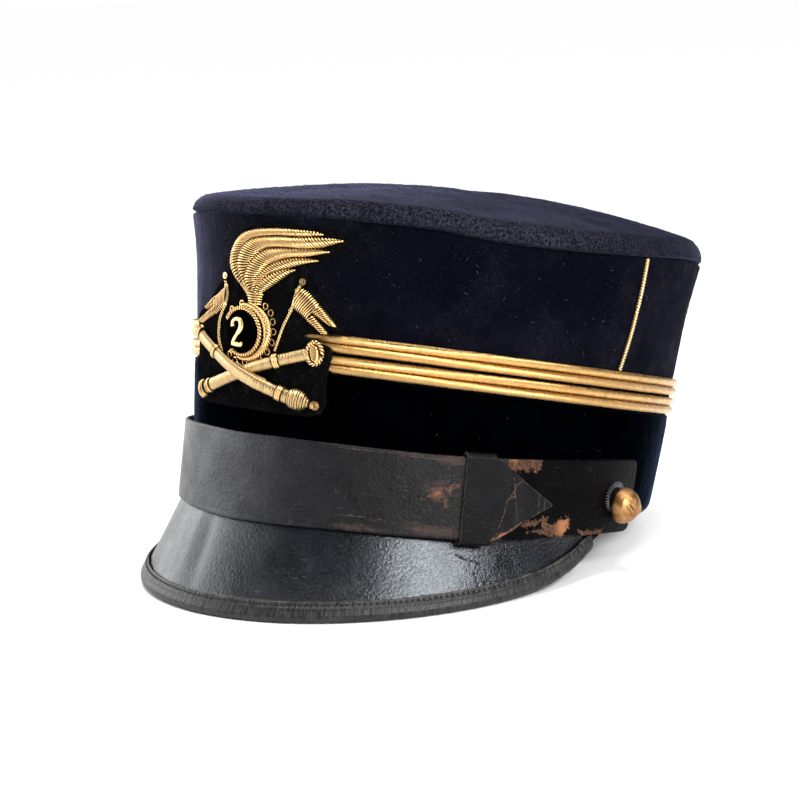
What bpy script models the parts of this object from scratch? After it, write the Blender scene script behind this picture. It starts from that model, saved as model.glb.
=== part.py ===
"""Kepi cap: stiff cloth crown with a soft domed top, velvet band, flat gold braids,
leather peak with a rolled binding, leather chin strap with keeper, side buttons and
an embroidered front badge.

The cap's own frame has its origin in the middle of the rim plane, the peak towards -Y,
the wearer's left towards +X, and heights measured up from the rim. Lengths below are
millimetres. Every piece is parented to the empty "kepi", which tips the cap back the
way it rests on a table: on the front of its peak and the back of its rim.
"""

import math

import bmesh
import bpy
from mathutils import Matrix, Vector

# ---------------------------------------------------------------- driving dimensions
RIM_HALF_WIDTH = 86.7  # outside of the band at the rim, side to side
RIM_FRONT = 103.35  # centre to the front of the rim
RIM_BACK = 99.9  # centre to the back of the rim
FLARE_SIDE = 0.0874  # how much the wall leans out for each mm of height
FLARE_FRONT = 0.1231
FLARE_BACK = 0.098
SEAM_HEIGHT = 105.4  # rim to the seam between wall and top
SEAM_RISE = 0.0158  # the seam climbs towards the back
SHOULDER_HEIGHT = 6.7  # rounded edge of the top above the seam
SHOULDER_WIDTH = 4.6
DOME_HEIGHT = 14.8  # soft crown of the top above its shoulder
CLOTH_THICKNESS = 2.0  # cloth over its stiffener
CLOTH_FACE = -0.7  # outside of the cloth, from the nominal wall
VELVET_FACE = 0.7  # outside of the velvet
VELVET_THICKNESS = 1.1
VELVET_START = 0.8  # lower edge of the velvet, above the rim
BAND_TOP = 45.2  # height of the velvet at the middle of each side
BAND_SLOPE = -0.0208
BRAID_HEIGHT = 7.0
BRAID_GAP = 0.8
BRAID_BACK = -0.35  # back of the braid from the nominal wall
BRAID_DEPTH = 2.0
CORD_RADIUS = 0.85
CORD_ANGLE_TOP, CORD_ANGLE_LOW = 93.1, 91.4
CORD_BOW = 1.3  # degrees that the cord's middle strays backwards
PEAK_THICKNESS = 2.0
PEAK_END = 93.0  # angle of the peak's corners from the front
BINDING_END = 90.0
PEAK_SECTIONS = 33
BINDING_THICKNESS = 0.9
BINDING_RADIUS = 1.85  # to the middle of the rolled leather
BINDING_WIDTH = 5.3
STRAP_THICKNESS = 1.5
KEEPER_THICKNESS = 1.1
BUTTON_ANGLE, BUTTON_HEIGHT = 96.5, 8.6
BUTTON_RADIUS, BUTTON_DOME = 7.3, 9.0
SHANK_RADIUS, SHANK_HOLE = 1.2, 1.9
REST_TILT = 12.3  # degrees, front up, when the cap stands on its peak and rim
GAP = 0.32
SEAM_GAP = 0.7  # sunk seam between wall and top
ROUND = 48  # sections round the crown
MM = 0.001

# the cloth puffs out below the seam: share of the wall's height, distance out
PUFF = ((0.0, 0.0), (0.8, 0.0), (0.95, 0.9), (1.0, 1.2))
# the rim lifts behind the visible button: angle from the front, rise
RIM_RISE = (
    (98, 0.0),
    (110, 1.0),
    (122, 3.4),
    (134, 5.2),
    (146, 4.2),
    (160, 1.4),
    (172, 0.0),
)
# how far the hand-sewn seam strays from its plane: angle from the front, rise
SEAM_WAVE = (
    (0, 0.3),
    (16, 0.8),
    (45, 0.6),
    (57, -1.9),
    (73, -1.9),
    (84, -1.2),
    (105, 0.5),
    (115, 1.2),
    (150, 0.0),
    (180, 0.0),
)
# edge of the peak: angle from the front, reach out from the wall, height above the
# table that the cap rests on
PEAK_EDGE = (
    (0.0, 20.4, 0.0),
    (18.5, 19.7, 0.0),
    (31.0, 18.1, 0.0),
    (44.0, 15.6, 0.0),
    (52.0, 13.6, 0.0),
    (60.0, 11.4, 0.1),
    (68.0, 9.2, 0.5),
    (78.0, 6.7, 2.0),
    (86.0, 5.2, 6.4),
    (93.0, 4.3, 14.5),
)
# chin strap: angle from the front, height of its lower edge, its width, and how far
# its inner face stands off the wall along its lower and its upper edge
STRAP_LINE = (
    (0, -11.9, 33.0, 6.9, 2.6),
    (12, -11.3, 32.8, 6.7, 2.6),
    (28, -10.1, 31.8, 6.2, 2.6),
    (47, -9.4, 31.2, 6.5, 3.5),
    (57, -8.9, 31.2, 7.6, 4.9),
    (66, -8.0, 31.0, 7.4, 4.9),
    (76, -6.0, 29.8, 5.6, 3.6),
    (92, -3.6, 29.0, 4.8, 2.2),
    (104, -2.9, 28.7, 2.4, 1.4),
)
# the same on the wearer's right, where nothing lifts the strap
STRAP_FAR = (
    (0, -11.9, 33.0, 6.9, 2.6),
    (12, -11.3, 32.8, 6.7, 2.6),
    (28, -10.1, 31.8, 5.8, 2.6),
    (47, -9.4, 31.2, 5.2, 2.6),
    (66, -8.0, 31.0, 4.7, 2.4),
    (76, -6.0, 29.8, 4.6, 2.2),
    (92, -3.6, 29.0, 4.6, 2.2),
    (104, -2.9, 28.7, 2.4, 1.4),
)
# the same for the tail, where it runs inside the keeper and under the strap
TAIL_LINE = (
    (56, -8.6, 30.6, 5.7, 2.9),
    (66, -7.7, 30.4, 5.2, 2.8),
    (76, -6.0, 29.8, 4.9, 2.6),
    (92, -3.6, 29.0, 4.6, 2.2),
    (104, -2.9, 28.7, 2.4, 1.4),
)
STRAP_END = 64.0  # where the strap stops under the pointed tip
TAIL_START = 56.4
TAIL_END = 103.8
KEEPER_LEFT, KEEPER_RIGHT = 54.9, 61.2
TIP_ANGLE, TIP_HEIGHT = 75.8, 6.7

# badge, on the front of the wall: across (to the wearer's left) and up, in mm
BACKING = (  # height, left edge, right edge
    (30.0, -31.0, 37.0),
    (36.0, -34.0, 38.5),
    (42.0, -31.5, 37.0),
    (48.0, -28.0, 39.0),
    (54.0, -29.0, 40.5),
    (60.0, -32.0, 40.5),
    (66.0, -31.0, 43.5),
    (71.0, -25.5, 40.5),
    (77.0, -16.0, 32.5),
    (82.0, -13.5, 29.5),
    (87.0, -10.0, 34.0),
    (91.0, -8.5, 39.0),
    (95.0, -5.5, 44.0),
    (98.5, -1.5, 43.0),
    (101.0, 5.0, 31.0),
)
TENT = (  # height, where the underside of the backing clears braid and band
    (29.0, 1.15),
    (40.0, 1.15),
    (43.8, 2.3),
    (64.0, 2.3),
    (68.6, 0.8),
    (73.0, -0.1),
    (84.0, -0.1),
    (92.0, 0.3),
    (99.0, 0.85),
    (103.0, 1.1),
)
BACKING_THICKNESS = 0.8
PLUME = (  # left edge across and up, right edge across and up, from the neck
    (4.2, 70.9, 9.0, 70.9),
    (-1.5, 75.0, 9.9, 75.3),
    (-5.8, 80.0, 13.4, 77.5),
    (-7.1, 86.0, 18.7, 81.3),
    (-4.0, 93.3, 23.1, 84.6),
    (5.0, 98.0, 28.5, 87.0),
    (18.0, 99.2, 34.5, 90.5),
    (31.0, 98.8, 38.0, 94.0),
    (37.5, 97.6, 41.5, 96.8),
)
GRENADE_ACROSS, GRENADE_UP, GRENADE_RADIUS = 4.5, 59.6, 10.0
DISC_ACROSS, DISC_UP, DISC_RADIUS = 2.6, 59.6, 7.6
CANNON_A = (  # across, up, off the wall, half width, half thickness
    (-23.2, 57.6, 4.7, 0.9, 0.8),
    (-22.6, 57.4, 4.7, 2.2, 1.2),
    (-20.0, 56.4, 4.8, 1.5, 1.2),
    (-12.6, 51.9, 4.9, 1.7, 1.2),
    (-4.0, 49.0, 5.9, 1.7, 1.2),
    (4.0, 46.2, 7.3, 1.8, 1.2),
    (11.0, 43.3, 7.3, 1.9, 1.2),
    (19.0, 40.0, 6.1, 2.0, 1.2),
    (24.5, 38.0, 4.8, 2.1, 1.3),
    (27.0, 37.1, 4.4, 2.7, 1.4),
    (30.0, 36.1, 4.1, 2.5, 1.4),
    (31.6, 35.6, 3.9, 0.9, 0.9),
    (33.4, 35.1, 3.9, 1.6, 1.2),
    (35.4, 34.5, 3.9, 1.6, 1.2),
    (36.4, 34.2, 3.9, 0.7, 0.7),
)
CANNON_B = (
    (-30.6, 34.0, 3.9, 1.6, 0.8),
    (-29.5, 34.3, 3.9, 3.6, 1.3),
    (-24.0, 36.0, 3.9, 3.4, 1.4),
    (-21.0, 37.0, 4.1, 1.9, 1.2),
    (-12.0, 39.8, 4.5, 1.8, 1.2),
    (0.0, 43.6, 4.7, 1.8, 1.2),
    (10.0, 46.7, 4.7, 1.8, 1.2),
    (19.3, 49.6, 4.7, 1.8, 1.2),
    (28.5, 52.5, 4.7, 1.9, 1.2),
    (30.6, 53.2, 4.7, 3.4, 1.3),
    (33.0, 53.9, 4.7, 4.6, 1.4),
    (36.2, 54.9, 4.7, 4.4, 1.3),
    (37.4, 55.3, 4.7, 2.4, 0.8),
)
POLE_RIGHT = (  # across, up, off the wall
    (26.8, 80.6, 2.4),
    (24.6, 77.2, 2.4),
    (22.5, 71.0, 3.4),
    (21.1, 66.0, 4.5),
    (18.2, 55.0, 4.6),
)
FLAG_RIGHT = (  # pole edge then fly edge, for the top, the notch and the bottom line
    (25.0, 77.2, 40.5, 65.7),
    (24.0, 73.6, 33.0, 66.6),
    (22.9, 70.0, 36.8, 62.6),
)
POLE_LEFT = (
    (-11.6, 79.8, 2.4),
    (-10.9, 76.8, 2.4),
    (-11.4, 71.0, 3.4),
    (-11.7, 66.0, 4.5),
    (-12.2, 56.0, 4.6),
)
FLAG_LEFT = (
    (-10.9, 76.4, -27.0, 68.0),
    (-11.2, 73.2, -22.0, 66.4),
    (-11.6, 70.0, -28.0, 62.8),
)


# ------------------------------------------------------------------------- functions
def clear_scene():
    for obj in list(bpy.data.objects):
        bpy.data.objects.remove(obj, do_unlink=True)


def between(table, x, column):
    """Value of one column at x, eased between the table's rows."""
    if x <= table[0][0]:
        return table[0][column]
    for low, high in zip(table, table[1:]):
        if x <= high[0]:
            t = (x - low[0]) / (high[0] - low[0])
            return low[column] + (high[column] - low[column]) * t
    return table[-1][column]


def smooth(table, x, column, reach):
    """The same, averaged over a reach either side, so that a row leaves no kink."""
    steps = 6
    return (
        sum(
            between(table, x + reach * (2 * i / steps - 1), column)
            for i in range(steps + 1)
        )
        / (steps + 1)
    )


def wall(phi, height, out=0.0):
    """Point in mm beside the wall: angle from the front, height, distance outwards."""
    r = math.radians(phi)
    half_width = RIM_HALF_WIDTH + FLARE_SIDE * height
    if math.cos(r) > 0:
        half_length = RIM_FRONT + FLARE_FRONT * height
    else:
        half_length = RIM_BACK + FLARE_BACK * height
    normal = Vector((math.sin(r) / half_width, -math.cos(r) / half_length, 0)).normalized()
    foot = Vector((half_width * math.sin(r), -half_length * math.cos(r), height))
    return foot + normal * out


def wall_normal(phi, height=0.0):
    return (wall(phi, height, 1.0) - wall(phi, height)).normalized()


ARC_STEP = 0.5


def arc_table():
    """Length along the wall from the front centre line, by angle."""
    length, rows, last = 0.0, [(0.0, 0.0)], wall(0, 60)
    for i in range(1, 131):
        here = wall(i * ARC_STEP, 60)
        length += (here - last).length
        rows.append((length, i * ARC_STEP))
        last = here
    return tuple(rows)


ARC = arc_table()


def on_badge(across, up, out):
    """Point in mm on the front of the wall, by distance across and height."""
    return wall(math.copysign(between(ARC, abs(across), 1), across), up, out)


def seam(phi):
    y = wall(phi, SEAM_HEIGHT).y
    return SEAM_HEIGHT + SEAM_RISE * y + smooth(SEAM_WAVE, abs(phi), 1, 5)


def rim(phi):
    """Height of the rim."""
    return smooth(RIM_RISE, phi, 1, 4)


def material(name, colour, roughness, metallic=0.0):
    made = bpy.data.materials.new(name)
    made.use_nodes = True
    shader = made.node_tree.nodes["Principled BSDF"]
    shader.inputs["Base Color"].default_value = (*colour, 1)
    shader.inputs["Roughness"].default_value = roughness
    shader.inputs["Metallic"].default_value = metallic
    return made


def link(name, data, look, collection="kepi_cap"):
    obj = bpy.data.objects.new(name, data)
    bpy.data.collections[collection].objects.link(obj)
    if look:
        data.materials.append(look)
    obj.parent = CAP
    return obj


def grid_mesh(name, rows, round_columns=False, round_rows=False, tip=None):
    """Mesh through rows of points in mm. Rows run up the outside, columns round it."""
    bm = bmesh.new()
    made = [[bm.verts.new(point * MM) for point in row] for row in rows]
    last_row = len(rows) if round_rows else len(rows) - 1
    for i in range(last_row):
        low, high = made[i], made[(i + 1) % len(rows)]
        last = len(low) if round_columns else len(low) - 1
        for j in range(last):
            k = (j + 1) % len(low)
            bm.faces.new((low[j], low[k], high[k], high[j]))
    if tip is not None:
        point, top = bm.verts.new(tip * MM), made[-1]
        last = len(top) if round_columns else len(top) - 1
        for j in range(last):
            bm.faces.new((top[j], top[(j + 1) % len(top)], point))
    if round_rows and round_columns:
        bmesh.ops.recalc_face_normals(bm, faces=bm.faces)
    mesh = bpy.data.meshes.new(name)
    bm.to_mesh(mesh)
    bm.free()
    mesh.shade_smooth()
    mesh.set_sharp_from_angle(angle=math.radians(40))
    return mesh


def shell(name, mesh, thickness, look, side=-1):
    """Open surface made solid: side -1 thickens inwards, 0 both ways."""
    obj = link(name, mesh, look)
    solid = obj.modifiers.new("thickness", "SOLIDIFY")
    solid.thickness = thickness * MM
    solid.offset = side
    return obj


def pad(name, outer, inner, look):
    """Closed pad between an outer and an inner grid of points in mm."""
    bm = bmesh.new()
    top = [[bm.verts.new(p * MM) for p in row] for row in outer]
    low = [[bm.verts.new(p * MM) for p in row] for row in inner]
    n, m = len(top), len(top[0])
    for i in range(n - 1):
        for j in range(m - 1):
            bm.faces.new((top[i][j], top[i][j + 1], top[i + 1][j + 1], top[i + 1][j]))
            bm.faces.new((low[i + 1][j], low[i + 1][j + 1], low[i][j + 1], low[i][j]))
    for i in range(n - 1):
        bm.faces.new((top[i][0], top[i + 1][0], low[i + 1][0], low[i][0]))
        bm.faces.new((low[i][-1], low[i + 1][-1], top[i + 1][-1], top[i][-1]))
    for j in range(m - 1):
        bm.faces.new((low[0][j], low[0][j + 1], top[0][j + 1], top[0][j]))
        bm.faces.new((top[-1][j], top[-1][j + 1], low[-1][j + 1], low[-1][j]))
    bmesh.ops.recalc_face_normals(bm, faces=bm.faces)
    mesh = bpy.data.meshes.new(name)
    bm.to_mesh(mesh)
    bm.free()
    mesh.shade_smooth()
    mesh.set_sharp_from_angle(angle=math.radians(40))
    return link(name, mesh, look)


def closed_tube(name, rings, look):
    """Closed body through rings of points in mm, with flat ends."""
    bm = bmesh.new()
    made = [[bm.verts.new(p * MM) for p in ring] for ring in rings]
    n = len(made[0])
    for low, high in zip(made, made[1:]):
        for j in range(n):
            bm.faces.new((low[j], low[(j + 1) % n], high[(j + 1) % n], high[j]))
    bm.faces.new(reversed(made[0]))
    bm.faces.new(made[-1])
    bmesh.ops.recalc_face_normals(bm, faces=bm.faces)
    mesh = bpy.data.meshes.new(name)
    bm.to_mesh(mesh)
    bm.free()
    mesh.shade_smooth()
    mesh.set_sharp_from_angle(angle=math.radians(40))
    return link(name, mesh, look)


def spread(low, high, count):
    return [low + (high - low) * i / (count - 1) for i in range(count)]


# ---------------------------------------------------------------------------- pieces
def crown_wall(look):
    angles = spread(0, 360, ROUND + 1)[:-1]
    rows = [
        [
            wall(
                a,
                rim(turned(a)) * (1 - t) + seam(turned(a)) * t,
                CLOTH_FACE + between(PUFF, t, 1),
            )
            for a in angles
        ]
        for t in (0.0, 0.4, 0.8, 0.95, 1.0)
    ]
    return shell("crown_wall", grid_mesh("crown_wall", rows, True), CLOTH_THICKNESS, look)


def turned(angle):
    """The same direction between -180 and 180 degrees."""
    return angle - 360 if angle > 180 else angle


def top_point(angle, inset):
    """Point of the top's outer face, by how far it lies inside the seam."""
    phi = turned(angle)
    base = wall(phi, SEAM_HEIGHT, CLOTH_FACE + PUFF[-1][1])
    radius = math.hypot(base.x, base.y)
    keep = 1 - inset / radius
    over = 1 - min(inset / SHOULDER_WIDTH, 1)
    rise = SHOULDER_HEIGHT * math.sqrt(1 - over * over) + DOME_HEIGHT * (1 - keep * keep)
    x, y = base.x * keep, base.y * keep
    level = seam(phi) * keep + (SEAM_HEIGHT + SEAM_RISE * y) * (1 - keep)
    return Vector((x, y, level + rise + SEAM_GAP))


def crown_top(look):
    angles = spread(0, 360, ROUND + 1)[:-1]
    rows = [
        [top_point(a, inset) for a in angles]
        for inset in (0.0, 0.35, 1.5, 4.0, 12.0, 28.0, 50.0, 72.0)
    ]
    tip = Vector((0, 0, SEAM_HEIGHT + SHOULDER_HEIGHT + DOME_HEIGHT + SEAM_GAP))
    mesh = grid_mesh("crown_top", rows, True, tip=tip)
    return shell("crown_top", mesh, CLOTH_THICKNESS, look)


def band_top(phi, height):
    return height + BAND_SLOPE * wall(phi, height).y


def velvet_band(look):
    angles = spread(0, 360, ROUND + 1)[:-1]
    rows = [
        [
            wall(
                a,
                (VELVET_START + rim(turned(a))) * (1 - t) + band_top(a, BAND_TOP) * t,
                VELVET_FACE,
            )
            for a in angles
        ]
        for t in (0.0, 0.5, 1.0)
    ]
    mesh = grid_mesh("velvet_band", rows, True)
    return shell("velvet_band", mesh, VELVET_THICKNESS, look)


def braid(name, low, look):
    """Flat braid of two ridges, laid round the crown."""
    profile = (  # height up the braid, distance out from its back
        (0.0, 0.0),
        (0.0, 0.9),
        (0.25, 1.0),
        (0.5, 0.55),
        (0.75, 1.0),
        (1.0, 0.9),
        (1.0, 0.0),
    )
    angles = spread(0, 360, ROUND + 1)[:-1]
    rows = [
        [
            wall(a, band_top(a, low) + up * BRAID_HEIGHT, BRAID_BACK + out * BRAID_DEPTH)
            for a in angles
        ]
        for up, out in profile
    ]
    return link(name, grid_mesh(name, rows, True, True), look)


def side_cord(name, side, look):
    curve = bpy.data.curves.new(name, "CURVE")
    curve.dimensions = "3D"
    curve.bevel_depth = CORD_RADIUS * MM
    curve.bevel_resolution = 2
    curve.use_fill_caps = True
    low = band_top(CORD_ANGLE_LOW, BAND_TOP) + 2 * BRAID_HEIGHT + BRAID_GAP + 1.2
    high = seam(CORD_ANGLE_TOP) - 0.6
    spline = curve.splines.new("POLY")
    spline.points.add(8)
    for i, point in enumerate(spline.points):
        t = i / 8
        phi = CORD_ANGLE_LOW + (CORD_ANGLE_TOP - CORD_ANGLE_LOW) * t
        phi += CORD_BOW * math.sin(math.pi * t)
        height = low + (high - low) * t
        puff = between(PUFF, height / seam(phi), 1)
        place = wall(side * phi, height, CLOTH_FACE + puff + CORD_RADIUS + GAP)
        point.co = (*(place * MM), 1)
    return link(name, curve, look)


def peak_centre(phi):
    """Middle of the rolled edge, which the peak's leather runs into."""
    a = abs(phi)
    reach = smooth(PEAK_EDGE, a, 1, 4) - BINDING_RADIUS - BINDING_THICKNESS / 2
    foot = wall(phi, 0, reach)
    floor = -(RIM_BACK - foot.y) * math.tan(math.radians(REST_TILT))
    height = floor + smooth(PEAK_EDGE, a, 2, 3) + BINDING_RADIUS + BINDING_THICKNESS / 2
    return reach, min(height, -3.6)


def peak_line(phi):
    """Section of the peak as (out, height), from its sewn margin to its edge."""
    reach, height = peak_centre(phi)
    start_out, start_height = 0.4, -2.6
    margin = [(-4.15, 6.0), (-4.15, 0.0), (-3.2, -1.7), (-1.4, -2.3)]
    leather = []
    for t in (0.0, 0.2, 0.45, 0.7, 0.88, 1.0):
        hollow = 0.5 * math.sin(math.pi * t) * min(1, -height / 30)
        leather.append(
            (
                start_out + (reach - start_out) * t - hollow,
                start_height + (height - start_height) * t,
            )
        )
    return margin + leather


def peak(look):
    angles = spread(-PEAK_END, PEAK_END, PEAK_SECTIONS)
    lines = [peak_line(a) for a in angles]
    rows = [
        [wall(a, 0, line[i][0]) + Vector((0, 0, line[i][1])) for a, line in zip(angles, lines)]
        for i in range(len(lines[0]))
    ]
    return shell("peak", grid_mesh("peak", rows[::-1], False), PEAK_THICKNESS, look, 0)


def peak_binding(look):
    """Leather rolled over the peak's edge, open towards the peak like a U."""
    rings = []
    for a in spread(-BINDING_END, BINDING_END, PEAK_SECTIONS):
        line = peak_line(a)
        out, height = line[-1]
        down = Vector((out - line[-3][0], height - line[-3][1]))
        down.normalize()
        face = Vector((-down.y, down.x))
        width = min(BINDING_WIDTH, max(2.6, -height * 0.3 + 1.6))
        legs = [(-width, 1.0), (-width * 0.5, 1.0)]
        roll = [
            (math.sin(math.radians(t)), math.cos(math.radians(t)))
            for t in (0, 40, 75, 105, 140, 180)
        ]
        path = [(x, y * BINDING_RADIUS) for x, y in legs]
        path += [(x * BINDING_RADIUS, y * BINDING_RADIUS) for x, y in roll]
        path += [(-width * 0.5, -BINDING_RADIUS), (-width * 0.8, -BINDING_RADIUS)]
        ring = []
        for along, across in path:
            place = down * along + face * across
            ring.append(wall(a, 0, out + place.x) + Vector((0, 0, height + place.y)))
        rings.append(ring)
    rows = [[ring[i] for ring in rings] for i in range(len(rings[0]))]
    mesh = grid_mesh("peak_binding", rows[::-1], False)
    return shell("peak_binding", mesh, BINDING_THICKNESS, look, 0)


def strap_point(table, phi, t, lift=0.0, trim=0.0):
    """Middle of a strap's leather: t runs from its lower to its upper edge."""
    a = abs(phi)
    if phi < 0 and table is STRAP_LINE:
        table = STRAP_FAR
    low = smooth(table, a, 1, 3) + trim
    width = smooth(table, a, 2, 3) - 2 * trim
    stand = smooth(table, a, 3, 3) * (1 - t) + smooth(table, a, 4, 3) * t
    return wall(phi, low + width * t, stand + lift)


def rounded(distance, radius=4.5):
    """How much a strap's end is trimmed, by the distance left to that end."""
    if distance >= radius:
        return 0.0
    return radius - math.sqrt(radius * radius - (radius - distance) ** 2)


def strap_sheet(name, table, stations, ends, look):
    heights = (0.0, 0.33, 0.67, 1.0)
    rows = []
    for t in heights:
        row = []
        for phi in stations:
            trim = max(rounded(abs(phi - end) * 1.55) for end in ends) if ends else 0.0
            row.append(strap_point(table, phi, t, STRAP_THICKNESS / 2, trim))
        rows.append(row)
    return shell(name, grid_mesh(name, rows), STRAP_THICKNESS, look, 0)


def strap(look):
    stations = [-TAIL_END, -TAIL_END + 0.5, -TAIL_END + 1.4, -TAIL_END + 2.8]
    stations += spread(-96.5, STRAP_END, 37)
    return strap_sheet("strap", STRAP_LINE, stations, [-TAIL_END], look)


def strap_tail(look):
    stations = spread(TAIL_START, TAIL_END - 6.8, 12)
    stations += [TAIL_END - d for d in (4.6, 2.8, 1.4, 0.5, 0.0)]
    return strap_sheet("strap_tail", TAIL_LINE, stations, [TAIL_END], look)


def strap_keeper(look):
    """Loop round strap and tail whose front runs on into a point over the tail."""
    back_stand = TAIL_LINE[0][3] - GAP - KEEPER_THICKNESS / 2
    half = KEEPER_THICKNESS / 2
    front = 9
    across = spread(KEEPER_LEFT, KEEPER_RIGHT, 5)

    def face(phi, t):
        return strap_point(STRAP_LINE, phi, t, STRAP_THICKNESS + GAP + half)

    def back(phi, t):
        return strap_point(TAIL_LINE, phi, t, -GAP - half)

    def loop(phi):
        bow = 1.15
        points = [face(phi, i / (front - 1)) for i in range(front)]
        top_out, top_in = points[-1], back(phi, 1.0)
        low_out, low_in = points[0], back(phi, 0.0)
        rise = Vector((0, 0, bow))
        points += [top_out + rise, (top_out + top_in) / 2 + rise * 1.35, top_in + rise]
        points += [back(phi, t) for t in (1.0, 0.66, 0.33, 0.0)]
        points += [low_in - rise, (low_out + low_in) / 2 - rise * 1.35, low_out - rise]
        return points

    bm = bmesh.new()
    columns = [[bm.verts.new(p * MM) for p in loop(phi)] for phi in across]
    n = len(columns[0])
    for a, b in zip(columns, columns[1:]):
        for i in range(n):
            j = (i + 1) % n
            bm.faces.new((a[i], b[i], b[j], a[j]))
    low_edge = strap_point(STRAP_LINE, KEEPER_RIGHT, 0).z
    high_edge = strap_point(STRAP_LINE, KEEPER_RIGHT, 1).z
    previous = columns[-1][:front]
    for step, phi in enumerate((63.5, 66.0, 69.0, 72.5)):
        t = (phi - KEEPER_RIGHT) / (TIP_ANGLE - KEEPER_RIGHT)
        row = []
        for i in range(front):
            height = low_edge + (high_edge - low_edge) * i / (front - 1)
            height += (TIP_HEIGHT - height) * t
            width = strap_point(TAIL_LINE, phi, 1).z - strap_point(TAIL_LINE, phi, 0).z
            place = (height - strap_point(TAIL_LINE, phi, 0).z) / width
            row.append(bm.verts.new(tip_point(phi, place, half) * MM))
        for i in range(front - 1):
            bm.faces.new((previous[i], row[i], row[i + 1], previous[i + 1]))
        previous = row
    width = strap_point(TAIL_LINE, TIP_ANGLE, 1).z - strap_point(TAIL_LINE, TIP_ANGLE, 0).z
    place = (TIP_HEIGHT - strap_point(TAIL_LINE, TIP_ANGLE, 0).z) / width
    apex = bm.verts.new(tip_point(TIP_ANGLE, place, half) * MM)
    for i in range(front - 1):
        bm.faces.new((previous[i], apex, previous[i + 1]))
    mesh = bpy.data.meshes.new("strap_keeper")
    bm.to_mesh(mesh)
    bm.free()
    mesh.shade_smooth()
    mesh.set_sharp_from_angle(angle=math.radians(50))
    return shell("strap_keeper", mesh, KEEPER_THICKNESS, look, 0)


def tip_point(phi, place, half):
    """The pointed tip drops from the strap's face to the tail's past the strap's end."""
    ease = min(max((phi - 65.2) / 4.0, 0), 1)
    ease = ease * ease * (3 - 2 * ease)
    high = strap_point(STRAP_LINE, phi, place, STRAP_THICKNESS + GAP + half)
    low = strap_point(TAIL_LINE, phi, place, STRAP_THICKNESS + GAP + half)
    return high.lerp(low, ease)


def button(name, side, look):
    """Domed button turned round its shank, which passes through the strap."""
    profile = [(0.0, BUTTON_DOME)]
    for t in (22, 42, 60, 76, 90):
        r = math.radians(t)
        profile.append((BUTTON_RADIUS * math.sin(r), 1.2 + (BUTTON_DOME - 1.2) * math.cos(r)))
    profile += [(BUTTON_RADIUS - 0.7, 0.0), (SHANK_RADIUS + 1.2, 0.0), (SHANK_RADIUS, -0.6)]
    shank = 0.5 + STRAP_THICKNESS + 1.0
    profile += [(SHANK_RADIUS, -shank), (0.0, -shank)]
    bm = bmesh.new()
    made = [bm.verts.new((x * MM, 0, z * MM)) for x, z in profile]
    for a, b in zip(made, made[1:]):
        bm.edges.new((a, b))
    mesh = bpy.data.meshes.new(name)
    bm.to_mesh(mesh)
    bm.free()
    obj = link(name, mesh, look)
    turn = obj.modifiers.new("turn", "SCREW")
    turn.axis = "Z"
    turn.steps = turn.render_steps = 16
    turn.use_merge_vertices = True
    turn.merge_threshold = 0.0001
    turn.use_smooth_shade = True
    table = TAIL_LINE if side > 0 else STRAP_FAR
    low, high = strap_point(table, BUTTON_ANGLE, 0).z, strap_point(table, BUTTON_ANGLE, 1).z
    t = (BUTTON_HEIGHT - low) / (high - low)
    seat = strap_point(table, side * BUTTON_ANGLE, t, STRAP_THICKNESS + 1.0)
    obj.matrix_parent_inverse = Matrix.Identity(4)
    obj.location = seat * MM
    aim = button_aim(side)
    obj.rotation_mode = "QUATERNION"
    obj.rotation_quaternion = Vector((0, 0, 1)).rotation_difference(aim)
    return obj, seat, aim


def button_aim(side):
    """The button's axis follows the wall, which leans out a little."""
    n = wall_normal(side * BUTTON_ANGLE, BUTTON_HEIGHT)
    return Vector((n.x, n.y, -FLARE_SIDE)).normalized()


def drill(obj, seat, aim, name):
    """Round hole in the strap for the button's shank."""
    bm = bmesh.new()
    bmesh.ops.create_cone(
        bm,
        cap_ends=True,
        segments=16,
        radius1=SHANK_HOLE * MM,
        radius2=SHANK_HOLE * MM,
        depth=9 * MM,
    )
    mesh = bpy.data.meshes.new(name)
    bm.to_mesh(mesh)
    bm.free()
    cutter = link(name, mesh, None, "kepi_cutters")
    cutter.location = (seat - aim * 1.6) * MM
    cutter.rotation_mode = "QUATERNION"
    cutter.rotation_quaternion = Vector((0, 0, 1)).rotation_difference(aim)
    cutter.hide_render = True
    cutter.display_type = "WIRE"
    cut = obj.modifiers.new("button_hole", "BOOLEAN")
    cut.operation = "DIFFERENCE"
    cut.solver = "EXACT"
    cut.object = cutter


def badge_backing(look):
    outer, inner = [], []
    for up, left, right in BACKING:
        under = smooth(TENT, up, 1, 0.6)
        outer.append(
            [on_badge(u, up, under + BACKING_THICKNESS) for u in spread(left, right, 9)]
        )
        inner.append([on_badge(u, up, under) for u in spread(left, right, 9)])
    return pad("badge_backing", outer, inner, look)


def over_backing(up):
    """Height of the backing's face at this height, with the stitched pad's clearance."""
    around = [smooth(TENT, up + d, 1, 0.6) for d in (-4.0, -2.0, 0.0, 2.0, 4.0)]
    return max(around) + BACKING_THICKNESS + GAP + 0.12


def badge_plume(look):
    outer, inner = [], []
    for i, (lu, lh, ru, rh) in enumerate(PLUME):
        end = min(1.0, (i + 0.6) / 2.5, (len(PLUME) - 0.4 - i) / 2.0)
        top, low = [], []
        for t in spread(0, 1, 7):
            u, h = lu + (ru - lu) * t, lh + (rh - lh) * t
            base = over_backing(h)
            puff = 0.9 + 1.9 * end * math.sqrt(max(0.0, 4 * t * (1 - t)))
            top.append(on_badge(u, h, base + puff))
            low.append(on_badge(u, h, base))
        outer.append(top)
        inner.append(low)
    return pad("badge_plume", outer, inner, look)


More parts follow.
